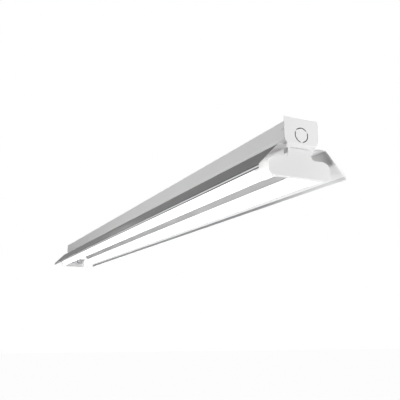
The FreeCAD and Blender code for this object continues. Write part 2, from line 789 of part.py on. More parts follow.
def latch_bar(x):
    """Bar across the channel that rests over both turned-in flanges when the latch is shut."""
    bar_low, bar_top, _ = latch_heights()
    bar = rectangle(x - latch_bar_width / 2, x + latch_bar_width / 2, -latch_bar_length / 2,
                    latch_bar_length / 2, on_xy(bar_low), latch_bar_width / 4)
    bar = bar.extrude(V(0, 0, latch_bar_thickness))
    return bar.cut(upright_rod(latch_shank_radius + cap_fit, x, 0, bar_low - overrun, bar_top + overrun))


def latch_washers():
    low = flat_bottom - latch_washer_thickness
    washers = []
    for x in latch_places:
        disc = upright_rod(latch_washer_radius, x, 0, low, flat_bottom)
        washers.append(disc.cut(upright_rod(latch_shank_radius + latch_hole_gap, x, 0,
                                            low - overrun, flat_top)))
    return Part.makeCompound(washers)


def ballast_base():
    """Plate against the channel's top with a slotted ear at each end."""
    half = ballast_length / 2 + ballast_ear
    high = -channel_sheet
    low = high - ballast_base_sheet
    plate = rectangle(ballast_centre_x - half, ballast_centre_x + half, -ballast_width / 2,
                      ballast_width / 2, on_xy(low), ballast_edge).extrude(V(0, 0, ballast_base_sheet))
    return cut_all(plate, [upright_slot(x, 0, ballast_slot_length, ballast_slot_width,
                                        low - overrun, high + overrun) for x in ballast_screw_places()])


def ballast_case():
    """Potted case under its base plate, with rolled long edges."""
    high = -channel_sheet - ballast_base_sheet
    low = high - ballast_height
    half = ballast_width / 2
    section = rounded_plate([(-half, high, 0), (-half, low, ballast_edge), (half, low, ballast_edge),
                             (half, high, 0)], on_yz(ballast_centre_x - ballast_length / 2))
    return section.extrude(V(ballast_length, 0, 0))


def ballast_screws():
    seat = -channel_sheet - ballast_base_sheet
    return Part.makeCompound([aimed(screw(screw_length), V(x, 0, seat), V(0, 0, 1))
                              for x in ballast_screw_places()])


def ground_screw_x():
    return connector_x + 2 * connector_length


def ground_screw():
    return aimed(screw(screw_length), V(ground_screw_x(), 0, -channel_sheet), V(0, 0, 1))


def lead(points):
    """Round insulated wire through the points, with each turn an arc."""
    spots = [V(*point) for point in points]
    edges = []
    here = spots[0]
    for before, corner, after in zip(spots, spots[1:], spots[2:]):
        reach = lead_bend * math.tan((corner - before).getAngle(after - corner) / 2)
        arc = tangent_arc(before, corner, after, reach)
        edges += line_edge(here, arc.Vertexes[0].Point) + [arc]
        here = arc.Vertexes[1].Point
    return round_wire(edges + line_edge(here, spots[-1]), lead_radius)


def lamp_lead(end, side):
    """Lead from the ballast along the channel, down through its grommet and into the holder's flank."""
    lane_y = side * (half_channel - lead_wall_gap)
    lane_z = -lead_lane_low - (lead_lane_step if end == near else 0)
    start_x = ballast_centre_x + end * ballast_length / 2
    start_y = side * (ballast_width / 2 - lead_wall_gap)
    turn_x = start_x + end * 3 * lead_bend
    drop_x = end * grommet_x
    entry_x = end * (holder_back_x - entry_inset if end == near else entry_width / 2 - fixed_front_x)
    entry_y = lamp_y - holder_radius - entry_stand
    return lead([(start_x, start_y, lane_z), (turn_x, start_y, lane_z),
                 (turn_x + end * 3 * lead_bend, lane_y, lane_z),
                 (drop_x - end * 6 * lead_bend, lane_y, lane_z),
                 (drop_x - end * 3 * lead_bend, side * grommet_y, lane_z),
                 (drop_x, side * grommet_y, lane_z), (drop_x, side * grommet_y, -lamp_drop),
                 (entry_x, side * (grommet_y + entry_y) / 2, -lamp_drop),
                 (entry_x, side * entry_y, -lamp_drop)])


def supply_lead(side):
    """Short lead from the ballast to its connector by the supply hole."""
    start_x = ballast_centre_x + ballast_length / 2
    y0 = side * lead_lane_step
    y1 = side * connector_pitch / 2
    z = -channel_sheet - ballast_base_sheet - ballast_height / 2
    end_x = connector_x - connector_length / 2
    middle = (start_x + end_x) / 2
    return lead([(start_x, y0, z), (middle - 3 * lead_bend, y0, z), (middle + 3 * lead_bend, y1, z),
                 (end_x, y1, z)])


def ground_lead():
    """Lead from the ballast's case to the ground screw."""
    z = -channel_sheet - ballast_base_sheet - ballast_height / 2
    start_x = ballast_centre_x + ballast_length / 2
    y = -connector_pitch - connector_radius
    x = ground_screw_x()
    high = -channel_sheet - screw_head_height - lead_radius - hole_clearance
    return lead([(start_x, y, z), (x - 6 * lead_bend, y, z), (x - 3 * lead_bend, y, high),
                 (x, y, high), (x, 0, high)])


def wire_connectors():
    """Twist-on connectors of the two supply leads."""
    z = -channel_sheet - ballast_base_sheet - ballast_height / 2
    x0 = connector_x - connector_length / 2
    rim = connector_length / 5
    shells = []
    for side in (left, right):
        y = side * connector_pitch / 2
        shells.append(turned([(x0, 0), (x0, connector_radius), (x0 + rim, connector_radius),
                              (x0 + connector_length - rim, connector_tip_radius),
                              (x0 + connector_length, connector_tip_radius / 2),
                              (x0 + connector_length, 0)], y, z))
    return Part.makeCompound(shells)


def lead_grommets():
    """Rings in the reflector's flat that guard the four lamp leads."""
    rings = []
    z0, z1 = flat_bottom - grommet_flange, flat_top + grommet_flange
    for end in (near, far):
        for side in (left, right):
            x, y = end * grommet_x, side * grommet_y
            body = upright_rod(grommet_flange_radius, x, y, z0, z1)
            groove = upright_rod(grommet_flange_radius + overrun, x, y, flat_bottom, flat_top)
            groove = groove.cut(upright_rod(grommet_hole_radius - cap_fit, x, y, flat_bottom, flat_top))
            rings.append(body.cut(groove).cut(upright_rod(grommet_bore_radius, x, y, z0 - overrun,
                                                          z1 + overrun)))
    return Part.makeCompound(rings)


def clip_places():
    """Clips along both sides of the channel, clear of the ballast."""
    count = int(end_face_x / clip_spacing + 1 / 2)
    xs = [index * clip_spacing + clip_spacing / 2 for index in range(count)]
    keep_out = ballast_length / 2 + ballast_ear + 6 * lead_bend
    places = xs + [-x for x in xs]
    return [(x, side) for x in places if abs(x - ballast_centre_x) > keep_out for side in (left, right)]


def wire_clips():
    """Folded saddles on the channel's sides that hold the lamp leads in their lanes."""
    wall = half_channel - channel_sheet
    lane = half_channel - lead_wall_gap
    reach = lane - lead_radius - clip_gap - clip_sheet / 2
    high = -lead_lane_low + lead_radius + clip_gap + clip_sheet / 2
    low = -lead_lane_low - lead_lane_step - lead_radius - clip_gap - clip_sheet / 2
    root = wall - clip_sheet / 2
    clips = []
    for x, side in clip_places():
        saddle = folded_sheet([(wall, high), (reach, high), (reach, low), (root, low),
                               (root, low - clip_width)], clip_sheet, clip_gap, on_yz(x - clip_width / 2))
        clips.append(at_side(saddle.extrude(V(clip_width, 0, 0)), side))
    return Part.makeCompound(clips)


def pieces():
    """Every sub-part by name."""
    made = {
        "channel_housing": channel_housing(),
        "end_plate_near": end_plate(near),
        "end_plate_far": end_plate(far),
        "end_plate_screws": end_plate_screws(),
        "reflector_near": reflector_piece(seam_x + seam_gap / 2, half_length),
        "reflector_middle": reflector_piece(-seam_x + seam_gap / 2, seam_x - seam_gap / 2),
        "reflector_far": reflector_piece(-half_length, -seam_x - seam_gap / 2),
        "splice_plate_near": splice_plate(near),
        "splice_plate_far": splice_plate(far),
        "splice_rivets": splice_rivets(),
        "socket_plate_near": socket_plate(near),
        "socket_plate_far": socket_plate(far),
        "socket_plate_screws": socket_plate_screws(),
        "lampholder_screws": lampholder_screws(),
        "latch_washers": latch_washers(),
        "ballast_base": ballast_base(),
        "ballast_case": ballast_case(),
        "ballast_screws": ballast_screws(),
        "ground_screw": ground_screw(),
        "ground_lead": ground_lead(),
        "supply_lead_line": supply_lead(left),
        "supply_lead_neutral": supply_lead(right),
        "wire_connectors": wire_connectors(),
        "lead_grommets": lead_grommets(),
        "wire_clips": wire_clips(),
    }
    for word, side in (("left", left), ("right", right)):
        made["plunger_housing_" + word] = plunger_housing(side)
        made["plunger_" + word] = plunger(side)
        made["plunger_spring_" + word] = plunger_spring(side)
        made["fixed_lampholder_" + word] = fixed_lampholder(side)
        made["lamp_tube_" + word] = lamp_tube(side)
        made["lamp_caps_" + word] = lamp_caps(side)
        made["lamp_insulators_" + word] = lamp_insulators(side)
        made["lamp_pins_" + word] = lamp_pins(side)
        made["lamp_lead_near_" + word] = lamp_lead(near, side)
        made["lamp_lead_far_" + word] = lamp_lead(far, side)
    for number, x in enumerate(latch_places, 1):
        made["latch_knob_%d" % number] = latch_knob(x)
        made["latch_bar_%d" % number] = latch_bar(x)
    return made


def main():
    os.makedirs("parts", exist_ok=True)
    for name, shape in pieces().items():
        if not shape.isValid():
            print("not valid:", name)
        shape.exportStep("parts/%s.step" % name)
        print(name, len(shape.Solids), round(shape.Volume, 1))


main()
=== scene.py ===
"""Studio picture of a two-lamp reflector light fixture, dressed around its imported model.

Frame: X runs along the lamps, towards the end with the sprung lampholders, Y runs across and Z is up.
The origin is the middle of the channel's top face. Lengths are metres. Names that end in _mm, and the
sizes of the modelled pieces, are millimetres.
"""

import json
import logging
import math
from collections.abc import Callable, Sequence
from dataclasses import dataclass
from enum import Enum

import bmesh
import bpy
import numpy as np
from mathutils import Matrix, Vector


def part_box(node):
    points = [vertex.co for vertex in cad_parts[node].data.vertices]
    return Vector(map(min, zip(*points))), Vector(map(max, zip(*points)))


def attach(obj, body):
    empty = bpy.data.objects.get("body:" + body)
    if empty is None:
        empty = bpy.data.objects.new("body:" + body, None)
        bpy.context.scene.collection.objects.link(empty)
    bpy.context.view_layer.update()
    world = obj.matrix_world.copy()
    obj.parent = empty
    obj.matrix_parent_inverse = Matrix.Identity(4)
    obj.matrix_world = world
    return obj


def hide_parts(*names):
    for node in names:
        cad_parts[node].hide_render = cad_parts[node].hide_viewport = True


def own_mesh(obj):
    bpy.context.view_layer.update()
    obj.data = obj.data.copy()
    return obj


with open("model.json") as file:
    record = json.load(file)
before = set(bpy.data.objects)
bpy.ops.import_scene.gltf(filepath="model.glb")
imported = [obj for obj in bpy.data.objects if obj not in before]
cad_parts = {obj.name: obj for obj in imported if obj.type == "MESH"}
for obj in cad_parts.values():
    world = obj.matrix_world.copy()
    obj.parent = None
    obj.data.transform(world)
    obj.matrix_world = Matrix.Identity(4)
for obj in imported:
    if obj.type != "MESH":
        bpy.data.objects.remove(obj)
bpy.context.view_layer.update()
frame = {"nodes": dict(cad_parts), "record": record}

LOG = logging.getLogger("fixture")
MM = 0.001
MERGE_DISTANCE = 1e-6
SHARP_ANGLE = math.radians(38.0)
CORNER_STEPS = 5
EDGE_STEPS = 3
EDGE_PROFILE = 0.6
NEARLY_UPRIGHT = 0.9
LATCHES = (1, 2, 3, 4)
WHITE = "#ffffff"
# A Mix node has sockets of one name for each kind of value, so its two colours and its result go by number.
FIRST, SECOND, MIXED = 6, 7, 2

Colour = tuple[float, float, float, float]
Point = tuple[float, float, float]
Corner = tuple[float, float, float]
Socket = bpy.types.NodeSocket


class End(Enum):
    """The two ends of the fixture, by the sign of X."""

    NEAR = 1
    FAR = -1


class Side(Enum):
    """The two lamps' sides, by the sign of Y."""

    LEFT = -1
    RIGHT = 1

    @property
    def word(self) -> str:
        """The side's name as it ends the node names."""
        return self.name.lower()


@dataclass(frozen=True)
class Box:
    """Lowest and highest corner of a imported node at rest."""

    low: np.ndarray
    high: np.ndarray

    @classmethod
    def of(cls, node: str) -> "Box":
        """The box of one node."""
        low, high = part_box(node)
        return cls(np.array(low), np.array(high))

    @property
    def centre(self) -> np.ndarray:
        """Middle of the box."""
        return (self.low + self.high) / 2

    @property
    def size(self) -> np.ndarray:
        """Length of the box along each axis."""
        return self.high - self.low


# Materials


def linear(code: str) -> Colour:
    """Linear colour of an sRGB hex code.

    A share up to 0.04045 is divided by 12.92. A higher one has 0.055 added, is divided by 1.055 and is
    raised to the power 2.4.

    Args:
        code: Six hex digits after a hash mark.

    Returns:
        Linear red, green and blue, and an alpha of one.
    """
    shares = [int(code[start:start + 2], 16) / 255 for start in (1, 3, 5)]
    red, green, blue = [share / 12.92 if share <= 0.04045 else ((share + 0.055) / 1.055) ** 2.4
                        for share in shares]
    return red, green, blue, 1.0


def per_metre(size_mm: float) -> float:
    """Scale of a pattern whose features are size_mm apart, on coordinates in metres."""
    return 1 / (size_mm * MM)


def add_node(tree: bpy.types.NodeTree, kind: str, inputs: dict | None = None,
             **settings: object) -> bpy.types.Node:
    """Add one shader node with its settings and links.

    Args:
        tree: The node tree that gets the node.
        kind: The node's type name, such as ShaderNodeBump.
        inputs: Socket name or number, and the value it holds or the socket that feeds it.
        settings: The node's own properties.

    Returns:
        The new node.
    """
    node = tree.nodes.new(kind)
    for key, value in settings.items():
        setattr(node, key, value)
    for key, value in (inputs or {}).items():
        if isinstance(value, Socket):
            tree.links.new(value, node.inputs[key])
        else:
            node.inputs[key].default_value = value
    return node


def white_to_eye(tree: bpy.types.NodeTree) -> Socket:
    """One for rays from the eye, off gloss and through glass, otherwise zero.

    Args:
        tree: Node tree of the floor or the surround.

    Returns:
        The socket that says so.
    """
    rays = add_node(tree, "ShaderNodeLightPath").outputs
    direct = add_node(tree, "ShaderNodeMath", {0: rays["Is Camera Ray"], 1: rays["Is Glossy Ray"]},
                      operation="MAXIMUM")
    seen = add_node(tree, "ShaderNodeMath", {0: direct.outputs["Value"], 1: rays["Is Transmission Ray"]},
                    operation="MAXIMUM")
    return seen.outputs["Value"]


class Coat:
    """Material in the making, with the object coordinates that its patterns follow."""

    def __init__(self, name: str) -> None:
        """Start a material with the plain shader.

        Args:
            name: The material's name.
        """
        self.material = bpy.data.materials.new(name)
        self.material.use_nodes = True
        self.tree = self.material.node_tree
        self.shader = self.tree.nodes["Principled BSDF"]
        self.place = add_node(self.tree, "ShaderNodeTexCoord").outputs["Object"]

    def feed(self, name: str, source: Socket) -> None:
        """Let a pattern drive one of the shader's sockets."""
        self.tree.links.new(source, self.shader.inputs[name])

    def hold(self, name: str, value: float | Colour) -> None:
        """Give one of the shader's sockets a value that is the same all over."""
        self.shader.inputs[name].default_value = value

    def relief(self, spacing_mm: Point, depth_mm: float, detail: float,
               over: Socket | None = None) -> Socket:
        """Bump from noise that is stretched along the axes.

        Args:
            spacing_mm: How far apart its hills are along X, Y and Z.
            depth_mm: How high the hills stand over the hollows.
            detail: Number of finer noises laid over it.
            over: Normal of a coarser relief that this one lies on.

        Returns:
            The bent normal.
        """
        stretched = add_node(self.tree, "ShaderNodeMapping", {
            "Vector": self.place, "Scale": [per_metre(size) for size in spacing_mm]})
        hills = add_node(self.tree, "ShaderNodeTexNoise", {
            "Vector": stretched.outputs["Vector"], "Scale": 1.0, "Detail": detail})
        bump = add_node(self.tree, "ShaderNodeBump", {
            "Height": hills.outputs["Fac"], "Distance": depth_mm * MM})
        if over is not None:
            self.tree.links.new(over, bump.inputs["Normal"])
        return bump.outputs["Normal"]


@dataclass(frozen=True)
class Finish:
    """What one real material looks like. The name says what it is and how it was made."""

    name: str
    slot: str
    colour: str
    shade: str
    roughness: float
    roughness_spread: float = 0.04
    mottle_mm: float = 90.0
    mottle_detail: float = 3.0
    glow: float = 0.0
    glow_around: float = 0.0

    def material(self) -> bpy.types.Material:
        """Make the finish as a Blender material, once.

        Returns:
            The material, which all pieces of this finish share.
        """
        found = bpy.data.materials.get(self.name)
        if found is not None:
            return found
        coat = Coat(self.name)
        self.paint(coat)
        self.shape(coat)
        if self.glow:
            self.shine(coat)
        return coat.material

    def paint(self, coat: Coat) -> None:
        """Colour that drifts between two close tones, and a roughness that drifts with it.

        Args:
            coat: The material in the making.
        """
        drift = add_node(coat.tree, "ShaderNodeTexNoise", {
            "Vector": coat.place, "Scale": per_metre(self.mottle_mm), "Detail": self.mottle_detail})
        tone = add_node(coat.tree, "ShaderNodeMix", {
            0: drift.outputs["Fac"], FIRST: linear(self.shade), SECOND: linear(self.colour)},
            data_type="RGBA")
        coat.feed("Base Color", tone.outputs[MIXED])
        rub = add_node(coat.tree, "ShaderNodeMapRange", {
            "Value": drift.outputs["Fac"], "To Min": self.roughness + self.roughness_spread,
            "To Max": self.roughness - self.roughness_spread})
        coat.feed("Roughness", rub.outputs["Result"])

    def shape(self, coat: Coat) -> None:
        """Fine relief of the surface. The plain finish has none."""

    def shine(self, coat: Coat) -> None:
        """Glow in full to the eye and faintly on what is near, as in a picture exposed for the sheet. On a
        part that is no lamp, this glow is painted light.

        Args:
            coat: The material in the making.
        """
        level = add_node(coat.tree, "ShaderNodeMapRange", {
            "Value": add_node(coat.tree, "ShaderNodeLightPath").outputs["Is Camera Ray"],
            "To Min": self.glow_around, "To Max": self.glow})
        coat.feed("Emission Strength", level.outputs["Result"])
        if not coat.shader.inputs["Emission Color"].is_linked:
            coat.hold("Emission Color", linear(self.colour))


@dataclass(frozen=True)
class BakedEnamel(Finish):
    """White polyester enamel, sprayed on folded steel and baked: even, satin, with a faint orange peel.

    The peel is about 1.5 mm apart on the real sheet, which is too fine to show from a step away, so it is
    drawn a few times coarser. The sheet's own long waves bend its sheen gently. The sheen is kept weak,
    because a white surround mirrored in it would wash out the shaded sides.
    """

    peel_mm: Point = (5.0, 5.0, 5.0)
    peel_depth_mm: float = 0.02
    peel_detail: float = 2.0
    wave_mm: Point = (420.0, 60.0, 60.0)
    wave_depth_mm: float = 0.25
    wave_detail: float = 1.0
    specular: float = 0.02

    def shape(self, coat: Coat) -> None:
        """Orange peel over the long waves of the rolled sheet.

        Args:
            coat: The material in the making.
        """
        sheet = coat.relief(self.wave_mm, self.wave_depth_mm, self.wave_detail)
        coat.feed("Normal", coat.relief(self.peel_mm, self.peel_depth_mm, self.peel_detail, sheet))
        coat.hold("Specular IOR Level", self.specular)


@dataclass(frozen=True)
class EnamelWithPaintedShade(BakedEnamel):
    """Reflector enamel with painted shade: a darker tone on its back and dark lines along its lips.

    The back, where faces turn upwards, is painted a step darker than the channel beside it, as painted shade.
    The left lip gets two thin grey lines of painted shade, at its bend and at its cut edge, with white
    between them. The right lip gets one soft line of painted shade, which fades more and more towards the
    near end.
    """

    # Grey of the painted shade on the back, on faces that turn upwards.
    back: str = "#949494"
    shade_facing_up: tuple[float, float] = (0.3, 0.5)
    # Dark grey of the painted shade lines along the lips.
    steel: str = "#6a6c6e"
    lip_y_mm: float = 119.0
    line_soft_mm: float = 1.0
    left_heights_mm: tuple[float, float] = (-116.2, -123.6)
    left_half_width_mm: float = 1.9
    right_height_mm: float = -119.6
    right_half_width_mm: float = 4.0
    # The right lip's painted shade line fades between these distances along X, from the first share to the
    # second.
    right_fades_mm: tuple[float, float] = (850.0, 1180.0)
    right_shares: tuple[float, float] = (0.85, 0.25)

    def paint(self, coat: Coat) -> None:
        """Enamel tone, with painted shade over it: the darker back and the dark lines along the lips.

        Args:
            coat: The material in the making.
        """
        super().paint(coat)
        # Painted shade: faces that turn upwards take the darker back tone.
        normal = add_node(coat.tree, "ShaderNodeNewGeometry").outputs["Normal"]
        facing = add_node(coat.tree, "ShaderNodeSeparateXYZ", {"Vector": normal})
        painted_shade_share = add_node(coat.tree, "ShaderNodeMapRange", {
            "Value": facing.outputs["Z"], "From Min": self.shade_facing_up[0], "From Max": self.shade_facing_up[1]})
        enamel = add_node(coat.tree, "ShaderNodeMix", {
            0: painted_shade_share.outputs["Result"], FIRST: coat.shader.inputs["Base Color"].links[0].from_socket,
            SECOND: linear(self.back)}, data_type="RGBA")
        # Painted shade lines along the lips: two on the left lip, and one on the right lip that fades towards
        # the near end.
        bend, edge = [self.line(coat, Side.LEFT, middle, self.left_half_width_mm)
                      for middle in self.left_heights_mm]
        left = add_node(coat.tree, "ShaderNodeMath", {0: bend, 1: edge}, operation="MAXIMUM")
        along = add_node(coat.tree, "ShaderNodeSeparateXYZ", {"Vector": coat.place})
        fade = add_node(coat.tree, "ShaderNodeMapRange", {
            "Value": along.outputs["X"], "From Min": self.right_fades_mm[0] * MM,
            "From Max": self.right_fades_mm[1] * MM, "To Min": self.right_shares[0],
            "To Max": self.right_shares[1]})
        right = add_node(coat.tree, "ShaderNodeMath", {
            0: self.line(coat, Side.RIGHT, self.right_height_mm, self.right_half_width_mm),
            1: fade.outputs["Result"]}, operation="MULTIPLY")
        lip_shade_share = add_node(coat.tree, "ShaderNodeMath", {0: left.outputs["Value"], 1: right.outputs["Value"]},
                        operation="ADD")
        tone = add_node(coat.tree, "ShaderNodeMix", {
            0: lip_shade_share.outputs["Value"], FIRST: enamel.outputs[MIXED], SECOND: linear(self.steel)},
            data_type="RGBA")
        coat.feed("Base Color", tone.outputs[MIXED])

    def line(self, coat: Coat, side: Side, middle_mm: float, half_width_mm: float) -> Socket:
        """One on a level line along one side's lip, with soft edges, and zero elsewhere.

        Args:
            coat: The material in the making.
            side: The lip's side.
            middle_mm: Height of the line.
            half_width_mm: Half the line's width.

        Returns:
            The share of painted shade.
        """
        place = add_node(coat.tree, "ShaderNodeSeparateXYZ", {"Vector": coat.place}).outputs
        off = add_node(coat.tree, "ShaderNodeMath", {0: place["Z"], 1: middle_mm * MM}, operation="SUBTRACT")
        away = add_node(coat.tree, "ShaderNodeMath", {0: off.outputs["Value"]}, operation="ABSOLUTE")
        share = add_node(coat.tree, "ShaderNodeMapRange", {
            "Value": away.outputs["Value"], "From Min": (half_width_mm + self.line_soft_mm) * MM,
            "From Max": (half_width_mm - self.line_soft_mm) * MM}, interpolation_type="SMOOTHSTEP")
        beyond = add_node(coat.tree, "ShaderNodeMath", {0: place["Y"], 1: side.value * self.lip_y_mm * MM},
                          operation="LESS_THAN" if side is Side.LEFT else "GREATER_THAN")
        return add_node(coat.tree, "ShaderNodeMath", {0: share.outputs["Result"], 1: beyond.outputs["Value"]},
                        operation="MULTIPLY").outputs["Value"]


@dataclass(frozen=True)
class MouldedPlastic(Finish):
    """Moulded, pressed or extruded plastic or rubber: a fine even grain with a low sheen.

    A glow set on one of them is painted light, seen in full by the eye, though the part is no lamp.
    """

    grain_mm: Point = (1.2, 1.2, 1.2)
    grain_depth_mm: float = 0.02
    grain_detail: float = 2.0

    def shape(self, coat: Coat) -> None:
        """Grain left by the mould or the die."""
        coat.feed("Normal", coat.relief(self.grain_mm, self.grain_depth_mm, self.grain_detail))


class Marks(Enum):
    """How the metal was worked, as the stretch of its marks along X, Y and Z in millimetres."""

    TURNED = (0.8, 40.0, 40.0)
    PLATED = (6.0, 6.0, 6.0)


@dataclass(frozen=True)
class WorkedMetal(Finish):
    """Bare or plated metal with the marks of its making, which break up its highlights."""

    marks: Marks = Marks.PLATED
    mark_depth_mm: float = 0.01
    mark_detail: float = 3.0

    def shape(self, coat: Coat) -> None:
        """Rings or crystals left by turning or plating."""
        coat.feed("Normal", coat.relief(self.marks.value, self.mark_depth_mm, self.mark_detail))
        coat.hold("Metallic", 1.0)


@dataclass(frozen=True)
class LitPhosphor(Finish):
    """Soda-lime glass tube with a baked phosphor coat inside, lit: an even white glow under gloss.

    The glow fades over the last centimetres, where the cathodes sit.
    """

    faded: str = "#c9c6bf"
    half_length_mm: float = 1190.0
    fade_mm: float = 45.0

    def shape(self, coat: Coat) -> None:
        """Glow along the tube, weaker by the cathodes.

        Args:
            coat: The material in the making.
        """
        along = add_node(coat.tree, "ShaderNodeSeparateXYZ", {"Vector": coat.place})
        reach = add_node(coat.tree, "ShaderNodeMath", {0: along.outputs["X"]}, operation="ABSOLUTE")
        share = add_node(coat.tree, "ShaderNodeMapRange", {
            "Value": reach.outputs["Value"], "From Min": (self.half_length_mm - self.fade_mm) * MM,
            "From Max": self.half_length_mm * MM}, interpolation_type="SMOOTHSTEP")
        glow = add_node(coat.tree, "ShaderNodeMix", {
            0: share.outputs["Result"], FIRST: linear(WHITE), SECOND: linear(self.faded)}, data_type="RGBA")
        coat.feed("Emission Color", glow.outputs[MIXED])


# Satin white, level from end to end, with faint waves in its sheen.
CHANNEL_ENAMEL = BakedEnamel("white_enamel_on_channel", "channel_enamel", "#eeeeee", "#e8e8e8", 0.42)
# The same white, a little smoother, with painted shade: a grey back and dark lines along its lips.
REFLECTOR_ENAMEL_WITH_PAINTED_SHADE = EnamelWithPaintedShade("white_enamel_on_reflector", "reflector_enamel", "#f0f0f0", "#eaeaea", 0.38)
# The reflector's enamel a shade greyer than the sheets round it, as painted shade, so that the plate stands
# out.
PLATE_ENAMEL_WITH_PAINTED_SHADE = BakedEnamel("white_enamel_on_plate_with_painted_shade", "reflector_enamel", "#e6e6e6", "#e1e1e1", 0.40)
# Pale urea beside the lit lamp: almost white, with a low sheen, and painted light as a glow to the eye.
HOLDER_PLASTIC_WITH_PAINTED_LIGHT = MouldedPlastic("moulded_urea_holder_with_painted_light", "holder_plastic", "#f4f4f3", "#eeeeed", 0.38,
                                glow=0.3)
# The same plastic, creamier with the lamp's warmth.
PLUNGER_PLASTIC = MouldedPlastic("moulded_urea_plunger", "plunger_plastic", "#e9e7e1", "#dfddd6", 0.34)
# Glossy glass that looks evenly white, because the coat inside it glows.
LAMP_GLASS = LitPhosphor("phosphor_coated_glass_tube", "lamp_glass", "#f6f6f6", "#f2f2f2", 0.14,
                         glow=0.75, glow_around=0.03)
# Bright grey metal with fine rings round it.
CAP_ALUMINIUM = WorkedMetal("drawn_aluminium_cap", "cap_aluminium", "#c9cacc", "#bcbdc0", 0.30,
                            marks=Marks.TURNED)
# Dull brown board.
INSULATOR_BOARD = MouldedPlastic("pressed_phenolic_disc", "insulator_board", "#6b4a2c", "#5a3d24", 0.62)
# Warm yellow metal with fine rings round it.
PIN_BRASS = WorkedMetal("turned_brass_pin", "pin_brass", "#b79a58", "#a98b4a", 0.28, marks=Marks.TURNED)
# Cool pale grey metal, softly clouded by its crystals.
ZINC_STEEL = WorkedMetal("zinc_plated_steel", "zinc_steel", "#b9bdc2", "#a9adb3", 0.34)
# Darker grey wire with a keen highlight.
SPRING_STEEL = WorkedMetal("drawn_spring_wire", "spring_steel", "#8d8f92", "#7f8185", 0.32)
# Satin black.
BALLAST_ENAMEL = BakedEnamel("black_enamel_on_ballast", "ballast_enamel", "#2b2c2e", "#232426", 0.45)
# Plain coloured jackets with a soft sheen.
LEADS = {word: MouldedPlastic("extruded_pvc_" + word, "lead_" + word, colour, shade, 0.42)
         for word, colour, shade in (
             ("blue", "#24386b", "#1f3160"), ("red", "#b3262a", "#a02125"), ("black", "#1d1d1f", "#161618"),
             ("white", "#e6e5e1", "#dddcd7"), ("green", "#2e7d3c", "#276e34"))}
# Waxy orange.
CONNECTOR_PLASTIC = MouldedPlastic("moulded_polypropylene_connector", "connector_plastic", "#d8832b",
                                   "#cc7a25", 0.44)
# Matt black.
GROMMET_RUBBER = MouldedPlastic("moulded_rubber_grommet", "grommet_rubber", "#1f1f20", "#19191a", 0.6)
FINISHES = {finish.slot: finish for finish in (
    CHANNEL_ENAMEL, REFLECTOR_ENAMEL_WITH_PAINTED_SHADE, HOLDER_PLASTIC_WITH_PAINTED_LIGHT, PLUNGER_PLASTIC, LAMP_GLASS, CAP_ALUMINIUM,
    INSULATOR_BOARD, PIN_BRASS, ZINC_STEEL, SPRING_STEEL, BALLAST_ENAMEL, *LEADS.values(),
    CONNECTOR_PLASTIC, GROMMET_RUBBER)}
NODE_FINISHES = {"socket_plate_near": PLATE_ENAMEL_WITH_PAINTED_SHADE, "socket_plate_far": PLATE_ENAMEL_WITH_PAINTED_SHADE}


def dress_nodes() -> None:
    """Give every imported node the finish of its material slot, or its own where it has one."""
    slots = {node: row["slot"] for row in frame["record"]["materials"] for node in row.get("nodes", [])}
    for name, node in frame["nodes"].items():
        for holder in node.material_slots:
            finish = NODE_FINISHES.get(name) or FINISHES[slots.get(name, holder.material.name)]
            holder.material = finish.material()
        LOG.info("dressed %s", name)


# Modelled pieces


def unit(vector: Sequence[float]) -> np.ndarray:
    """The vector at length one."""
    array = np.array(vector, float)
    return array / np.linalg.norm(array)


def round_angles(sides: int) -> np.ndarray:
    """Angles of a full turn, in one row."""
    return np.linspace(0.0, 2 * math.pi, sides, endpoint=False)[None, :]


def softened(corners: Sequence[Corner]) -> np.ndarray:
    """Line through the corners, each rounded by a parabola.

    The parabola leaves the corner's two sides at the softness, or halfway along them if that is nearer.

    Args:
        corners: Distance along the axis, radius and softness of each corner, in millimetres.

    Returns:
        Distances along the axis and radii, in metres.
    """
    line = []
    for before, here, after in zip([corners[0], *corners], corners, [*corners[1:], corners[-1]]):
        middle, soft = np.array(here[:2]), here[2]
        if not soft:
            line.append(middle)
            continue
        ends = []
        for other in (before, after):
            side = np.array(other[:2]) - middle
            ends.append(middle + side * min(soft / np.linalg.norm(side), 0.5))
        share = np.linspace(0.0, 1.0, CORNER_STEPS)[:, None]
        line.extend((1 - share) ** 2 * ends[0] + 2 * share * (1 - share) * middle + share ** 2 * ends[1])
    return np.array(line) * MM


@dataclass(frozen=True)
class Axis:
    """Line from an origin, in metres, that a form is turned about."""

    origin: Sequence[float]
    direction: Sequence[float]

    def points(self, along: np.ndarray, radius: np.ndarray, angle: np.ndarray) -> np.ndarray:
        """Points at a distance along the line, at a radius from it and at an angle round it.

        Args:
            along: Distances from the origin.
            radius: Distances from the line.
            angle: Angles round the line, in radians.

        Returns:
            Places, with X, Y and Z last.
        """
        ahead = unit(self.direction)
        aside = (0.0, 0.0, 1.0) if abs(ahead[2]) < NEARLY_UPRIGHT else (1.0, 0.0, 0.0)
        first = unit(np.cross(ahead, aside))
        second = np.cross(ahead, first)
        return (np.array(self.origin) + along[..., None] * ahead
                + radius[..., None] * (np.cos(angle)[..., None] * first + np.sin(angle)[..., None] * second))


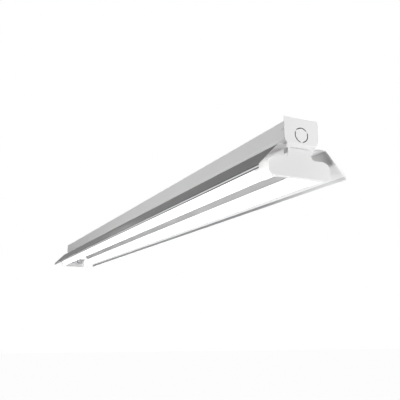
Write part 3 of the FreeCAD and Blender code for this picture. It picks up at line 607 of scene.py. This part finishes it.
class Form:
    """Mesh in the making, put together from smooth skins and soft-edged blocks."""

    def __init__(self) -> None:
        """Start with nothing in it."""
        self.mesh = bmesh.new()

    def skin(self, grid: np.ndarray, loop_rows: bool = False) -> "Form":
        """Add the surface through a grid of points, whose rows close on themselves.

        Args:
            grid: Rows and columns of places.
            loop_rows: Join the last row to the first.

        Returns:
            The form itself.
        """
        rows, columns = grid.shape[:2]
        number = np.arange(rows * columns).reshape(rows, columns)
        number = np.hstack([number, number[:, :1]])
        if loop_rows:
            number = np.vstack([number, number[:1]])
        quads = np.stack([number[:-1, :-1], number[1:, :-1], number[1:, 1:], number[:-1, 1:]], -1)
        skin = bpy.data.meshes.new("skin")
        skin.from_pydata(grid.reshape(-1, 3), [], quads.reshape(-1, 4).tolist())
        self.mesh.from_mesh(skin)
        bpy.data.meshes.remove(skin)
        return self

    def turned(self, axis: Axis, corners: Sequence[Corner], sides: int, loop: bool = False,
               swell: Callable[[np.ndarray], np.ndarray] = np.ones_like) -> "Form":
        """Add a softened profile turned about an axis.

        Each point lies at its profile's distance along the axis and at its radius times the swell.

        Args:
            axis: The line it is turned about.
            corners: The profile.
            sides: Points round the axis.
            loop: Join the profile's end to its start.
            swell: Factor on the radius at each angle.

        Returns:
            The form itself.
        """
        line, angle = softened(corners), round_angles(sides)
        return self.skin(axis.points(line[:, :1], line[:, 1:] * swell(angle), angle), loop)

    def block(self, first: Sequence[float], second: Sequence[float], soft_mm: float) -> "Form":
        """Add a block with its edges rounded off.

        Args:
            first: One corner.
            second: The corner opposite to it.
            soft_mm: How far from an edge its rounding starts.

        Returns:
            The form itself.
        """
        low, high = np.minimum(first, second), np.maximum(first, second)
        place = Matrix.Translation(Vector((low + high) / 2)) @ Matrix.Diagonal((*(high - low), 1.0))
        made = bmesh.ops.create_cube(self.mesh, size=1.0, matrix=place)["verts"]
        edges = list(dict.fromkeys(edge for vertex in made for edge in vertex.link_edges))
        bmesh.ops.bevel(self.mesh, geom=edges, offset=soft_mm * MM, segments=EDGE_STEPS,
                        profile=EDGE_PROFILE, affect="EDGES")
        return self

    def piece(self, name: str, finish: Finish, body: str, node: str) -> bpy.types.Object:
        """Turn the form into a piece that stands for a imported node.

        Args:
            name: The piece's name.
            finish: What it is made of.
            body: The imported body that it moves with.
            node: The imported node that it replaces.

        Returns:
            The new object.
        """
        bmesh.ops.remove_doubles(self.mesh, verts=self.mesh.verts, dist=MERGE_DISTANCE)
        bmesh.ops.recalc_face_normals(self.mesh, faces=self.mesh.faces)
        data = bpy.data.meshes.new(name)
        self.mesh.to_mesh(data)
        self.mesh.free()
        data.materials.append(finish.material())
        data.polygons.foreach_set("use_smooth", np.ones(len(data.polygons), bool))
        data.set_sharp_from_angle(angle=SHARP_ANGLE)
        made = bpy.data.objects.new(name, data)
        bpy.context.scene.collection.objects.link(made)
        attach(made, body)
        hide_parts(node)
        LOG.info("made %s", name)
        return made


@dataclass(frozen=True)
class Lamp:
    """One tube with its two caps and its two single pins."""

    side: Side
    tube_sides: int = 96
    neck_soft: float = 3.0
    seal_soft: float = 5.0
    cap_sides: int = 72
    cap_length: float = 24.0
    cap_wall: float = 0.5
    cap_soft: float = 4.0
    crimp_inset: float = 4.0
    crimp_half_width: float = 1.0
    crimp_depth: float = 0.35
    pin_sides: int = 40
    pin_radius: float = 4.0
    pin_length: float = 10.0
    pin_soft: float = 1.5

    def build(self) -> None:
        """Make the lamp's three pieces in place of their nodes."""
        word, body = self.side.word, "lamp_" + self.side.word
        self.tube().piece("glass_tube_" + word, LAMP_GLASS, body, "lamp_tube_" + word)
        self.caps().piece("drawn_caps_" + word, CAP_ALUMINIUM, body, "lamp_caps_" + word)
        self.pins().piece("turned_pins_" + word, PIN_BRASS, body, "lamp_pins_" + word)

    def ends(self, box: Box) -> list[Axis]:
        """Axes that start on both end faces of a box and point inwards."""
        return [Axis((x, *box.centre[1:]), (sign, 0.0, 0.0))
                for x, sign in ((box.low[0], 1.0), (box.high[0], -1.0))]

    def tube(self) -> Form:
        """Glass drawn in at both ends, where it is sealed.

        Returns:
            The tube's form.
        """
        box = Box.of("lamp_tube_" + self.side.word)
        length, radius = box.size[0] / MM, box.size[1] / 2 / MM
        seal, neck = radius / 3, radius * 2 / 3
        return Form().turned(self.ends(box)[0], [
            (0, 0, 0), (0, neck, self.neck_soft), (seal, radius, self.seal_soft),
            (length - seal, radius, self.seal_soft), (length, neck, self.neck_soft), (length, 0, 0)],
            self.tube_sides)

    def caps(self) -> Form:
        """Thin cups with a crimped ring near the edge and a raised seat round the pin.

        Returns:
            The form of both caps.
        """
        box = Box.of("lamp_caps_" + self.side.word)
        radius, wall, length = box.size[1] / 2 / MM, self.cap_wall, self.cap_length
        hole, crimp, half = self.pin_radius + wall, length - self.crimp_inset, self.crimp_half_width
        corners = [(wall / 2, hole, 0), (wall / 2, 2 * hole, 1), (0, 2 * hole + wall, wall),
                   (0, radius, self.cap_soft), (crimp - half, radius, wall),
                   (crimp, radius - self.crimp_depth, wall), (crimp + half, radius, wall),
                   (length, radius, 0), (length, radius - wall, 0),
                   (wall, radius - wall, self.cap_soft), (wall, hole, 0)]
        form = Form()
        for axis in self.ends(box):
            form.turned(axis, corners, self.cap_sides, loop=True)
        return form

    def pins(self) -> Form:
        """Round pins with a soft nose.

        Returns:
            The form of both pins.
        """
        radius, length = self.pin_radius, self.pin_length
        form = Form()
        for axis in self.ends(Box.of("lamp_pins_" + self.side.word)):
            form.turned(axis, [(0, 0, 0), (0, radius, self.pin_soft), (length, radius, 0), (length, 0, 0)],
                        self.pin_sides)
        return form


@dataclass(frozen=True)
class Lampholder:
    """Moulded cup for one end of a lamp, with a foot for its screw and a boss for its lead."""

    side: Side
    end: End
    sides: int = 80
    guide_length: float = 25.0
    back_wall: float = 2.6
    back_soft: float = 0.8
    bore: float = 16.5
    bore_soft: float = 1.5
    mouth: float = 20.15
    rim_soft: float = 0.7
    step_soft: tuple[float, float] = (1.0, 0.8)
    grooves: int = 3
    groove_width: float = 1.6
    groove_depth: float = 0.7
    groove_soft: float = 0.3
    pin_hole: float = 4.3
    pin_depth: float = 8.9
    pin_soft: float = 0.5
    dish: float = 9.0
    dish_depth: float = 2.0
    dish_soft: float = 1.0
    foot_width: float = 16.0
    foot_depth: float = 9.0
    foot_stand: float = 0.9
    foot_soft: float = 0.8
    boss_width: float = 12.0
    boss_height: float = 9.0
    boss_inset: float = 20.0
    boss_soft: float = 0.6
    reach_share: float = 0.8

    @property
    def node(self) -> str:
        """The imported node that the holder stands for."""
        kind = "plunger_housing_" if self.end is End.NEAR else "fixed_lampholder_"
        return kind + self.side.word

    def build(self) -> None:
        """Make the holder in place of its node. Its foot and boss run some way into the cup's wall."""
        box, lamp = Box.of(self.node), Box.of("lamp_tube_" + self.side.word).centre
        out, near = self.end.value, self.end is End.NEAR
        front, back = (box.low[0], box.high[0]) if near else (box.high[0], box.low[0])
        length, radius = box.size[0] / MM, (box.high[2] - lamp[2]) / MM
        form = Form().turned(Axis((front, lamp[1], lamp[2]), (out, 0.0, 0.0)), self.profile(length, radius),
                             self.sides)
        reach = radius * self.reach_share * MM
        heel = back - out * self.foot_stand * MM
        half = self.foot_width / 2 * MM
        form.block((heel - out * self.foot_depth * MM, lamp[1] - half, box.low[2]),
                   (heel, lamp[1] + half, lamp[2] - reach), self.foot_soft)
        inner = box.low[1] if self.side is Side.RIGHT else box.high[1]
        inset = self.boss_inset if near else length - self.boss_width / 2
        middle, half = back - out * inset * MM, self.boss_width / 2 * MM
        rise = self.boss_height / 2 * MM
        form.block((middle - half, inner, lamp[2] - rise),
                   (middle + half, lamp[1] - self.side.value * reach, lamp[2] + rise), self.boss_soft)
        kind = "sprung_holder_" if near else "fixed_holder_"
        form.piece(kind + self.side.word, HOLDER_PLASTIC_WITH_PAINTED_LIGHT, "fixture", self.node)

    def profile(self, length: float, radius: float) -> list[Corner]:
        """Outline from the middle of the back, over the grooves and the rim, to the middle of the hollow.

        Args:
            length: The cup's length.
            radius: Its outer radius.

        Returns:
            The outline's corners.
        """
        ringed = self.guide_length if self.end is End.NEAR else length
        pitch = ringed / (self.grooves + 1)
        half, depth, soft = self.groove_width / 2, radius - self.groove_depth, self.groove_soft
        outline = [(length, 0, 0), (length, radius, self.back_soft)]
        for index in range(self.grooves):
            centre = length - (index + 1) * pitch
            outline += [(centre + half, radius, soft), (centre + half, depth, soft),
                        (centre - half, depth, soft), (centre - half, radius, soft)]
        outline.append((0, radius, self.rim_soft))
        if self.end is End.NEAR:
            guide, floor = length - self.guide_length, length - self.back_wall
            return outline + [(0, self.mouth, soft), (guide, self.mouth, self.step_soft[0]),
                              (guide, self.bore, self.step_soft[1]), (floor, self.bore, self.bore_soft),
                              (floor, 0, 0)]
        return outline + [(0, self.dish, self.dish_soft), (self.dish_depth, self.pin_hole, self.dish_soft),
                          (self.pin_depth, self.pin_hole, self.pin_soft), (self.pin_depth, 0, 0)]


@dataclass(frozen=True)
class Plunger:
    """Sliding contact carrier of a sprung holder, and the coil behind it."""

    side: Side
    sides: int = 72
    dish: float = 9.0
    dish_depth: float = 2.0
    face_soft: tuple[float, float] = (1.5, 1.2)
    pin_hole: float = 4.3
    pin_depth: float = 8.9
    pin_soft: tuple[float, float] = (0.4, 0.6)
    seat: float = 12.6
    seat_depth: float = 6.0
    core: float = 6.3
    edge_soft: float = 0.6
    seat_soft: float = 0.8
    wire: float = 1.3
    wire_sides: int = 12
    turns: int = 6
    steps_per_turn: int = 40
    closed_share: float = 0.65
    pressed: float = 0.62

    def build(self) -> None:
        """Make the plunger and its coil in place of their nodes."""
        word = self.side.word
        self.carrier().piece("dished_plunger_" + word, PLUNGER_PLASTIC, "plunger_" + word, "plunger_" + word)
        coil = self.coil().piece("wound_coil_" + word, SPRING_STEEL, "fixture", "plunger_spring_" + word)
        anchor = Box.of("plunger_spring_" + word)
        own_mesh(coil)

    def carrier(self) -> Form:
        """Dished face with the pin's hole, soft outer edges and a seat for the coil.

        Returns:
            The plunger's form.
        """
        box = Box.of("plunger_" + self.side.word)
        length, radius = box.size[0] / MM, box.size[1] / 2 / MM
        axis = Axis((box.low[0], box.centre[1], box.centre[2]), (1.0, 0.0, 0.0))
        seat, edge = length - self.seat_depth, self.edge_soft
        return Form().turned(axis, [
            (self.pin_depth, 0, 0), (self.pin_depth, self.pin_hole, self.pin_soft[0]),
            (self.dish_depth, self.pin_hole, self.pin_soft[1]), (0, self.dish, self.face_soft[0]),
            (0, radius, self.face_soft[1]), (length, radius, edge), (length, self.seat, edge),
            (seat, self.seat, self.seat_soft), (seat, self.core, self.seat_soft), (length, self.core, edge),
            (length, 0, 0)], self.sides)

    def coil(self) -> Form:
        """Wire wound on a helix whose pitch closes up at both ends.

        Its middle line goes round the axis the set number of times. Its distance along the axis is a
        blend of an even run and a smooth step, whose share is the closed share. The wire's own circle
        stands square to that line.

        Returns:
            The coil's form.
        """
        box = Box.of("plunger_spring_" + self.side.word)
        radius = (box.size[1] - self.wire * MM) / 2
        share = np.linspace(0.0, 1.0, self.turns * self.steps_per_turn + 1)
        ease = (1 - self.closed_share) * share + self.closed_share * share ** 2 * (3 - 2 * share)
        start, stop = box.low[0] + self.wire / 2 * MM, box.high[0] - self.wire / 2 * MM
        turn = 2 * math.pi * self.turns * share
        line = np.stack([start + (stop - start) * ease, box.centre[1] + radius * np.cos(turn),
                         box.centre[2] + radius * np.sin(turn)], -1)
        ahead = np.gradient(line, axis=0)
        ahead /= np.linalg.norm(ahead, axis=1)[:, None]
        outward = np.stack([0 * turn, np.cos(turn), np.sin(turn)], -1)
        across = np.cross(ahead, outward)
        angle = round_angles(self.wire_sides)[..., None]
        thick = np.full(len(share), self.wire / 2 * MM)
        thick[[0, -1]] = 0.0
        ring = np.cos(angle) * outward[:, None, :] + np.sin(angle) * across[:, None, :]
        return Form().skin(line[:, None, :] + thick[:, None, None] * ring)


@dataclass(frozen=True)
class Screw:
    """Hexagon head with a thin flange, a cone-cut crown and a dimple, and a rolled thread."""

    length: float = 8.0
    sides: int = 48
    head_radius: float = 3.6
    head_height: float = 1.8
    flange: float = 0.3
    crown_share: float = 0.9
    crown_drop: float = 0.4
    dimple_depth: float = 0.5
    dimple_floor: float = 1.2
    dimple_rim: float = 1.5
    shank_radius: float = 2.1
    pitch: float = 1.4
    steps_per_pitch: int = 8
    thread_depth: float = 0.28
    tip_share: float = 0.4

    @property
    def flat(self) -> float:
        """From the head's middle to one of its flats."""
        return self.head_radius * math.cos(math.pi / 6)

    def add(self, form: Form, seat: Sequence[float], direction: Sequence[float]) -> None:
        """Put the screw into a form.

        The head's radius is the smaller of a hexagon's and its crown's. The shank's radius drops by the
        thread's depth times a triangle wave of the turn less the distance over the pitch, and narrows to
        the tip's share over the last radius of its length.

        Args:
            form: Gets the screw's skins.
            seat: Where the head's underside rests.
            direction: From the head to the tip.
        """
        axis, angle = Axis(seat, direction), round_angles(self.sides)
        hexagon = self.flat / np.cos((angle + math.pi / 6) % (math.pi / 3) - math.pi / 6)
        top, brim = -self.head_height, self.head_radius
        heights, limits = np.array([
            (top + self.dimple_depth, 0.0), (top + self.dimple_depth, self.dimple_floor),
            (top, self.dimple_rim), (top, self.flat * self.crown_share), (top + self.crown_drop, brim),
            (-self.flange, brim)]).T
        edge = np.array([[brim], [brim], [0.0]]) + 0 * angle
        rows = np.vstack([np.minimum(hexagon, limits[:, None]), edge])
        along = np.append(heights, [-self.flange, 0.0, 0.0])[:, None]
        form.skin(axis.points(along * MM, rows * MM, angle))
        along = np.linspace(0.0, self.length, int(self.length / self.pitch * self.steps_per_pitch))[:, None]
        wave = np.abs(((angle / (2 * math.pi) - along / self.pitch) % 1.0) * 2 - 1)
        taper = np.clip((self.length - along) / self.shank_radius, 0.0, 1.0)
        thread = (self.shank_radius - self.thread_depth * wave) * (
            self.tip_share + (1 - self.tip_share) * taper)
        thread[-1] = 0.0
        form.skin(axis.points(along * MM, thread * MM, angle))


@dataclass(frozen=True)
class ScrewSet:
    """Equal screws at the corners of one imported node's box, driven upwards or in from both sides."""

    node: str
    name: str
    finish: Finish
    screw: Screw = Screw()
    upwards: bool = True

    def build(self) -> None:
        """Make the set in place of its node."""
        form = Form()
        for seat, direction in self.seats(Box.of(self.node)):
            self.screw.add(form, seat, direction)
        form.piece(self.name, self.finish, "fixture", self.node)

    def seats(self, box: Box) -> list[tuple[Point, Point]]:
        """Where the heads rest and which way the screws point.

        Args:
            box: The node's box. Screws that it puts on one spot are one screw.

        Returns:
            A seat and a direction for each screw.
        """
        radius, flat, height = (size * MM for size in (
            self.screw.head_radius, self.screw.flat, self.screw.head_height))
        columns = (box.low[0] + radius, box.high[0] - radius)
        if not self.upwards:
            rows = ((box.low[1] + height, 1.0), (box.high[1] - height, -1.0))
            return [((x, y, box.centre[2]), (0.0, way, 0.0)) for x in columns for y, way in rows]
        spots = {(round(x, 6), round(y, 6)) for x in columns for y in (box.low[1] + flat, box.high[1] - flat)}
        return [((x, y, box.low[2] + height), (0.0, 0.0, 1.0)) for x, y in sorted(spots)]


SCREW_SETS = (
    ScrewSet("end_plate_screws", "hex_screws_end", CHANNEL_ENAMEL, upwards=False),
    ScrewSet("socket_plate_screws", "hex_socket_plate_screws", ZINC_STEEL),
    ScrewSet("lampholder_screws", "hex_lampholder_screws", REFLECTOR_ENAMEL_WITH_PAINTED_SHADE, Screw(length=5.5)),
    ScrewSet("ballast_screws", "hex_ballast_screws", ZINC_STEEL),
    ScrewSet("ground_screw", "hex_ground_screw", LEADS["green"]),
)


@dataclass(frozen=True)
class LatchKnob:
    """Cast quarter-turn knob: a thin disc, a waisted wing below it and a headed shank above."""

    number: int
    sides: int = 56
    disc_radius: float = 9.5
    disc_height: float = 1.8
    disc_soft: float = 0.8
    shank_radius: float = 3.0
    shank_soft: float = 0.5
    head_radius: float = 4.2
    head_height: float = 1.0
    head_soft: float = 0.4
    wing_height: float = 9.0
    wing_half_width: float = 2.0
    wing_rows: int = 41
    wing_sides: int = 32
    waist: float = 0.2
    dip: float = 0.2
    ear_power: int = 12

    def build(self) -> None:
        """Make the knob in place of its node."""
        node = "latch_knob_%d" % self.number
        box = Box.of(node)
        top, disc, root = box.size[2] / MM, self.wing_height + self.disc_height, self.wing_height
        neck, shank, soft = top - self.head_height, self.shank_radius, self.shank_soft
        axis = Axis((box.centre[0], box.centre[1], box.low[2]), (0.0, 0.0, 1.0))
        form = Form().turned(axis, [
            (root, 0, 0), (root, self.disc_radius, self.disc_soft), (disc, self.disc_radius, soft),
            (disc, shank, soft), (neck, shank, 0), (neck, self.head_radius, self.head_soft),
            (top, shank, soft), (top, 0, 0)], self.sides)
        form.skin(self.wing(box))
        form.piece("cast_knob_%d" % self.number, ZINC_STEEL, "latch_%d" % self.number, node)

    def wing(self, box: Box) -> np.ndarray:
        """Wing along Y whose section is a superellipse, deepest at its two ears.

        The section's half width and its depth are multiplied by the fourth root of one less the ear
        power of the share along the wing, which rounds both ears off. The half width is less by the
        waist, and the depth by the dip, halfway between the ears.

        Args:
            box: The knob's box.

        Returns:
            Rows of places round the wing.
        """
        share = np.sin(np.linspace(-math.pi / 2, math.pi / 2, self.wing_rows))[:, None]
        angle = round_angles(self.wing_sides)
        end = (1 - share ** self.ear_power) ** 0.25
        depth = self.wing_height * (1 - self.dip * np.cos(math.pi * share / 2) ** 2) * MM
        circle = np.stack([np.cos(angle), np.sin(angle)])
        square = np.sqrt(np.abs(circle)) * np.sign(circle)
        x = box.centre[0] + self.wing_half_width * MM * (1 - self.waist * (1 - share ** 2)) * end * square[0]
        y = box.centre[1] + box.size[1] / 2 * share + 0 * angle
        root = box.low[2] + (self.wing_height + self.disc_height / 2) * MM
        z = root - depth * end * (1 - square[1]) / 2 - self.disc_height / 2 * MM * end
        return np.stack([x, y, np.maximum(z, box.low[2])], -1)


@dataclass(frozen=True)
class WireConnectors:
    """Twist-on connectors: tapered shells with ribs for the fingers.

    The shell's corners are shares of the length and of the radius, each with its softness.
    """

    ribs: int = 14
    points_per_rib: int = 6
    rib_depth: float = 0.045
    hollow_depth: float = 2.0
    hollow_share: float = 0.7
    hollow_soft: float = 0.5
    shell: tuple[Corner, ...] = ((0.0, 0.8, 0.5), (0.0, 0.96, 0.6), (0.2, 0.96, 1.0), (0.8, 0.66, 2.0),
                                 (1.0, 0.4, 1.0))

    def build(self) -> None:
        """Make both connectors in place of their node."""
        box = Box.of("wire_connectors")
        length, radius = box.size[0] / MM, box.size[2] / 2 / MM
        corners = [(self.hollow_depth, 0, 0),
                   (self.hollow_depth, radius * self.hollow_share, self.hollow_soft),
                   *((length * along, radius * wide, soft) for along, wide, soft in self.shell),
                   (length, 0, 0)]
        form = Form()
        for y in (box.low[1] + radius * MM, box.high[1] - radius * MM):
            form.turned(Axis((box.low[0], y, box.centre[2]), (1.0, 0.0, 0.0)), corners,
                        self.ribs * self.points_per_rib, swell=self.swell)
        form.piece("ribbed_connectors", CONNECTOR_PLASTIC, "fixture", "wire_connectors")

    def swell(self, angle: np.ndarray) -> np.ndarray:
        """One on a rib's crest and less by the rib's depth between two ribs, as a cosine wave."""
        return 1 - self.rib_depth / 2 + self.rib_depth / 2 * np.cos(self.ribs * angle)


@dataclass(frozen=True)
class LeadGrommets:
    """Soft rings whose two lips hold the edge of the reflector's holes."""

    sides: int = 48
    flange: float = 7.2
    flange_soft: float = 0.9
    neck: float = 5.1
    neck_soft: float = 0.2
    bore: float = 3.0
    bore_soft: float = 0.7
    lip: float = 1.5
    lip_soft: float = 0.4

    def build(self) -> None:
        """Make the four rings in place of their node."""
        box = Box.of("lead_grommets")
        height = box.size[2] / MM
        half = [(0, self.bore, self.bore_soft), (0, self.flange, self.flange_soft),
                (self.lip, self.flange, self.lip_soft), (self.lip, self.neck, self.neck_soft)]
        corners = half + [(height - along, radius, soft) for along, radius, soft in reversed(half)]
        form = Form()
        for x in (box.low[0] + self.flange * MM, box.high[0] - self.flange * MM):
            for y in (box.low[1] + self.flange * MM, box.high[1] - self.flange * MM):
                form.turned(Axis((x, y, box.low[2]), (0.0, 0.0, 1.0)), corners, self.sides, loop=True)
        form.piece("moulded_grommets", GROMMET_RUBBER, "fixture", "lead_grommets")


# Studio


@dataclass(frozen=True)
class Viewpoint:
    """Camera at the photograph's viewing angle, below the fixture and left of its near end."""

    place: Point = (2.2164, -0.7265, -0.4567)
    heading: float = 156.138
    rise: float = 14.202
    tilt: float = 0.664
    lens_mm: float = 48.864
    shift: tuple[float, float] = (0.02406, -0.03957)

    def build(self) -> None:
        """Make the camera and give it to the scene."""
        heading, rise, tilt = (math.radians(angle) for angle in (self.heading, self.rise, self.tilt))
        forward = np.array([math.cos(rise) * math.cos(heading), math.cos(rise) * math.sin(heading),
                            math.sin(rise)])
        level = np.array([math.sin(heading), -math.cos(heading), 0.0])
        above = np.cross(level, forward)
        right = math.cos(tilt) * level + math.sin(tilt) * above
        up = math.cos(tilt) * above - math.sin(tilt) * level
        data = bpy.data.cameras.new("viewpoint")
        data.lens = self.lens_mm
        data.shift_x, data.shift_y = self.shift
        camera = bpy.data.objects.new("viewpoint", data)
        matrix = np.eye(4)
        matrix[:3, 0], matrix[:3, 1], matrix[:3, 2], matrix[:3, 3] = right, up, -forward, self.place
        camera.matrix_world = matrix.T.tolist()
        bpy.context.scene.collection.objects.link(camera)
        bpy.context.scene.camera = camera


@dataclass(frozen=True)
class SoftBox:
    """Square studio lamp. level is how bright a white surface that faces it looks at the target."""

    name: str
    target: Point
    direction: Point
    distance: float
    size: float
    level: float

    def build(self) -> None:
        """Hang the lamp at its distance from the target and aim it there."""
        data = bpy.data.lights.new(self.name, "AREA")
        data.size = self.size
        data.energy = self.level * (math.pi * self.distance) ** 2
        lamp = bpy.data.objects.new(self.name, data)
        away = unit(self.direction)
        lamp.location = np.array(self.target) + away * self.distance
        lamp.rotation_mode = "QUATERNION"
        lamp.rotation_quaternion = Vector(away).to_track_quat("Z", "Y")
        bpy.context.scene.collection.objects.link(lamp)


@dataclass(frozen=True)
class Studio:
    """Plain pale floor far below the hung fixture, a dim surround that looks white, and soft lamps."""

    floor_drop: float = 3.9
    floor_half: float = 60.0
    floor_grey: str = "#9a9a9a"
    floor_glow: float = 0.97
    floor_roughness: tuple[float, float] = (0.75, 0.85)
    floor_patches: float = 0.7
    surround: float = 0.03
    lamps: tuple[SoftBox, ...] = (
        SoftBox("key_from_below", (0.3, 0.0, -0.08), (0.0, -0.22, -0.97), 3.6, 1.1, 0.62),
        SoftBox("side_from_left", (0.4, 0.0, -0.08), (0.12, -0.96, -0.24), 3.8, 0.8, 0.48),
        SoftBox("low_from_left", (0.3, 0.0, -0.08), (0.10, -0.84, -0.54), 4.0, 0.7, 0.19),
        SoftBox("fill_on_end", (1.2, 0.0, -0.05), (0.80, 0.45, -0.25), 3.0, 1.2, 1.18),
        SoftBox("rim_from_right", (0.0, 0.0, -0.05), (-0.10, 0.86, 0.50), 4.0, 1.5, 0.45),
        SoftBox("fill_on_far_end", (-1.2, 0.0, -0.05), (-0.90, 0.36, 0.25), 3.0, 1.2, 0.50),
    )

    def build(self) -> None:
        """Make the floor, the surround and the lamps, and set the plain view transform."""
        bpy.context.scene.view_settings.view_transform = "Standard"
        self.build_floor()
        self.build_world()
        for lamp in self.lamps:
            lamp.build()
        LOG.info("studio ready")

    def build_floor(self) -> None:
        """Large level plane of matt grey board, which keeps the fixture's shadow and looks nearly white."""
        half, level = self.floor_half, -self.floor_drop
        mesh = bpy.data.meshes.new("floor")
        mesh.from_pydata([(-half, -half, level), (half, -half, level), (half, half, level),
                          (-half, half, level)], [], [(0, 1, 2, 3)])
        floor = bpy.data.objects.new("floor", mesh)
        bpy.context.scene.collection.objects.link(floor)
        coat = Coat("pale_studio_floor")
        drift = add_node(coat.tree, "ShaderNodeTexNoise", {"Vector": coat.place, "Scale": self.floor_patches})
        rub = add_node(coat.tree, "ShaderNodeMapRange", {
            "Value": drift.outputs["Fac"], "To Min": self.floor_roughness[0],
            "To Max": self.floor_roughness[1]})
        coat.feed("Roughness", rub.outputs["Result"])
        coat.hold("Base Color", linear(self.floor_grey))
        coat.hold("Specular IOR Level", 0.0)
        coat.hold("Emission Color", linear(WHITE))
        seen = add_node(coat.tree, "ShaderNodeMath", {0: white_to_eye(coat.tree), 1: self.floor_glow},
                        operation="MULTIPLY")
        coat.feed("Emission Strength", seen.outputs["Value"])
        mesh.materials.append(coat.material)

    def build_world(self) -> None:
        """Surround that is white to the eye and lights the fixture evenly and faintly."""
        world = bpy.data.worlds.new("surround")
        world.use_nodes = True
        tree = world.node_tree
        background = tree.nodes["Background"]
        background.inputs["Color"].default_value = linear(WHITE)
        level = add_node(tree, "ShaderNodeMapRange", {
            "Value": white_to_eye(tree), "To Min": self.surround, "To Max": 1.0})
        tree.links.new(level.outputs["Result"], background.inputs["Strength"])
        bpy.context.scene.world = world


def main() -> None:
    """Set up the camera and the studio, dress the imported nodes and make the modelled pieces."""
    logging.basicConfig(level=logging.INFO, format="%(message)s")
    Viewpoint().build()
    Studio().build()
    dress_nodes()
    for side in Side:
        Lamp(side).build()
        Plunger(side).build()
        for end in End:
            Lampholder(side, end).build()
    for number in LATCHES:
        LatchKnob(number).build()
    for screws in SCREW_SETS:
        screws.build()
    WireConnectors().build()
    LeadGrommets().build()


if __name__ == "__main__":
    main()
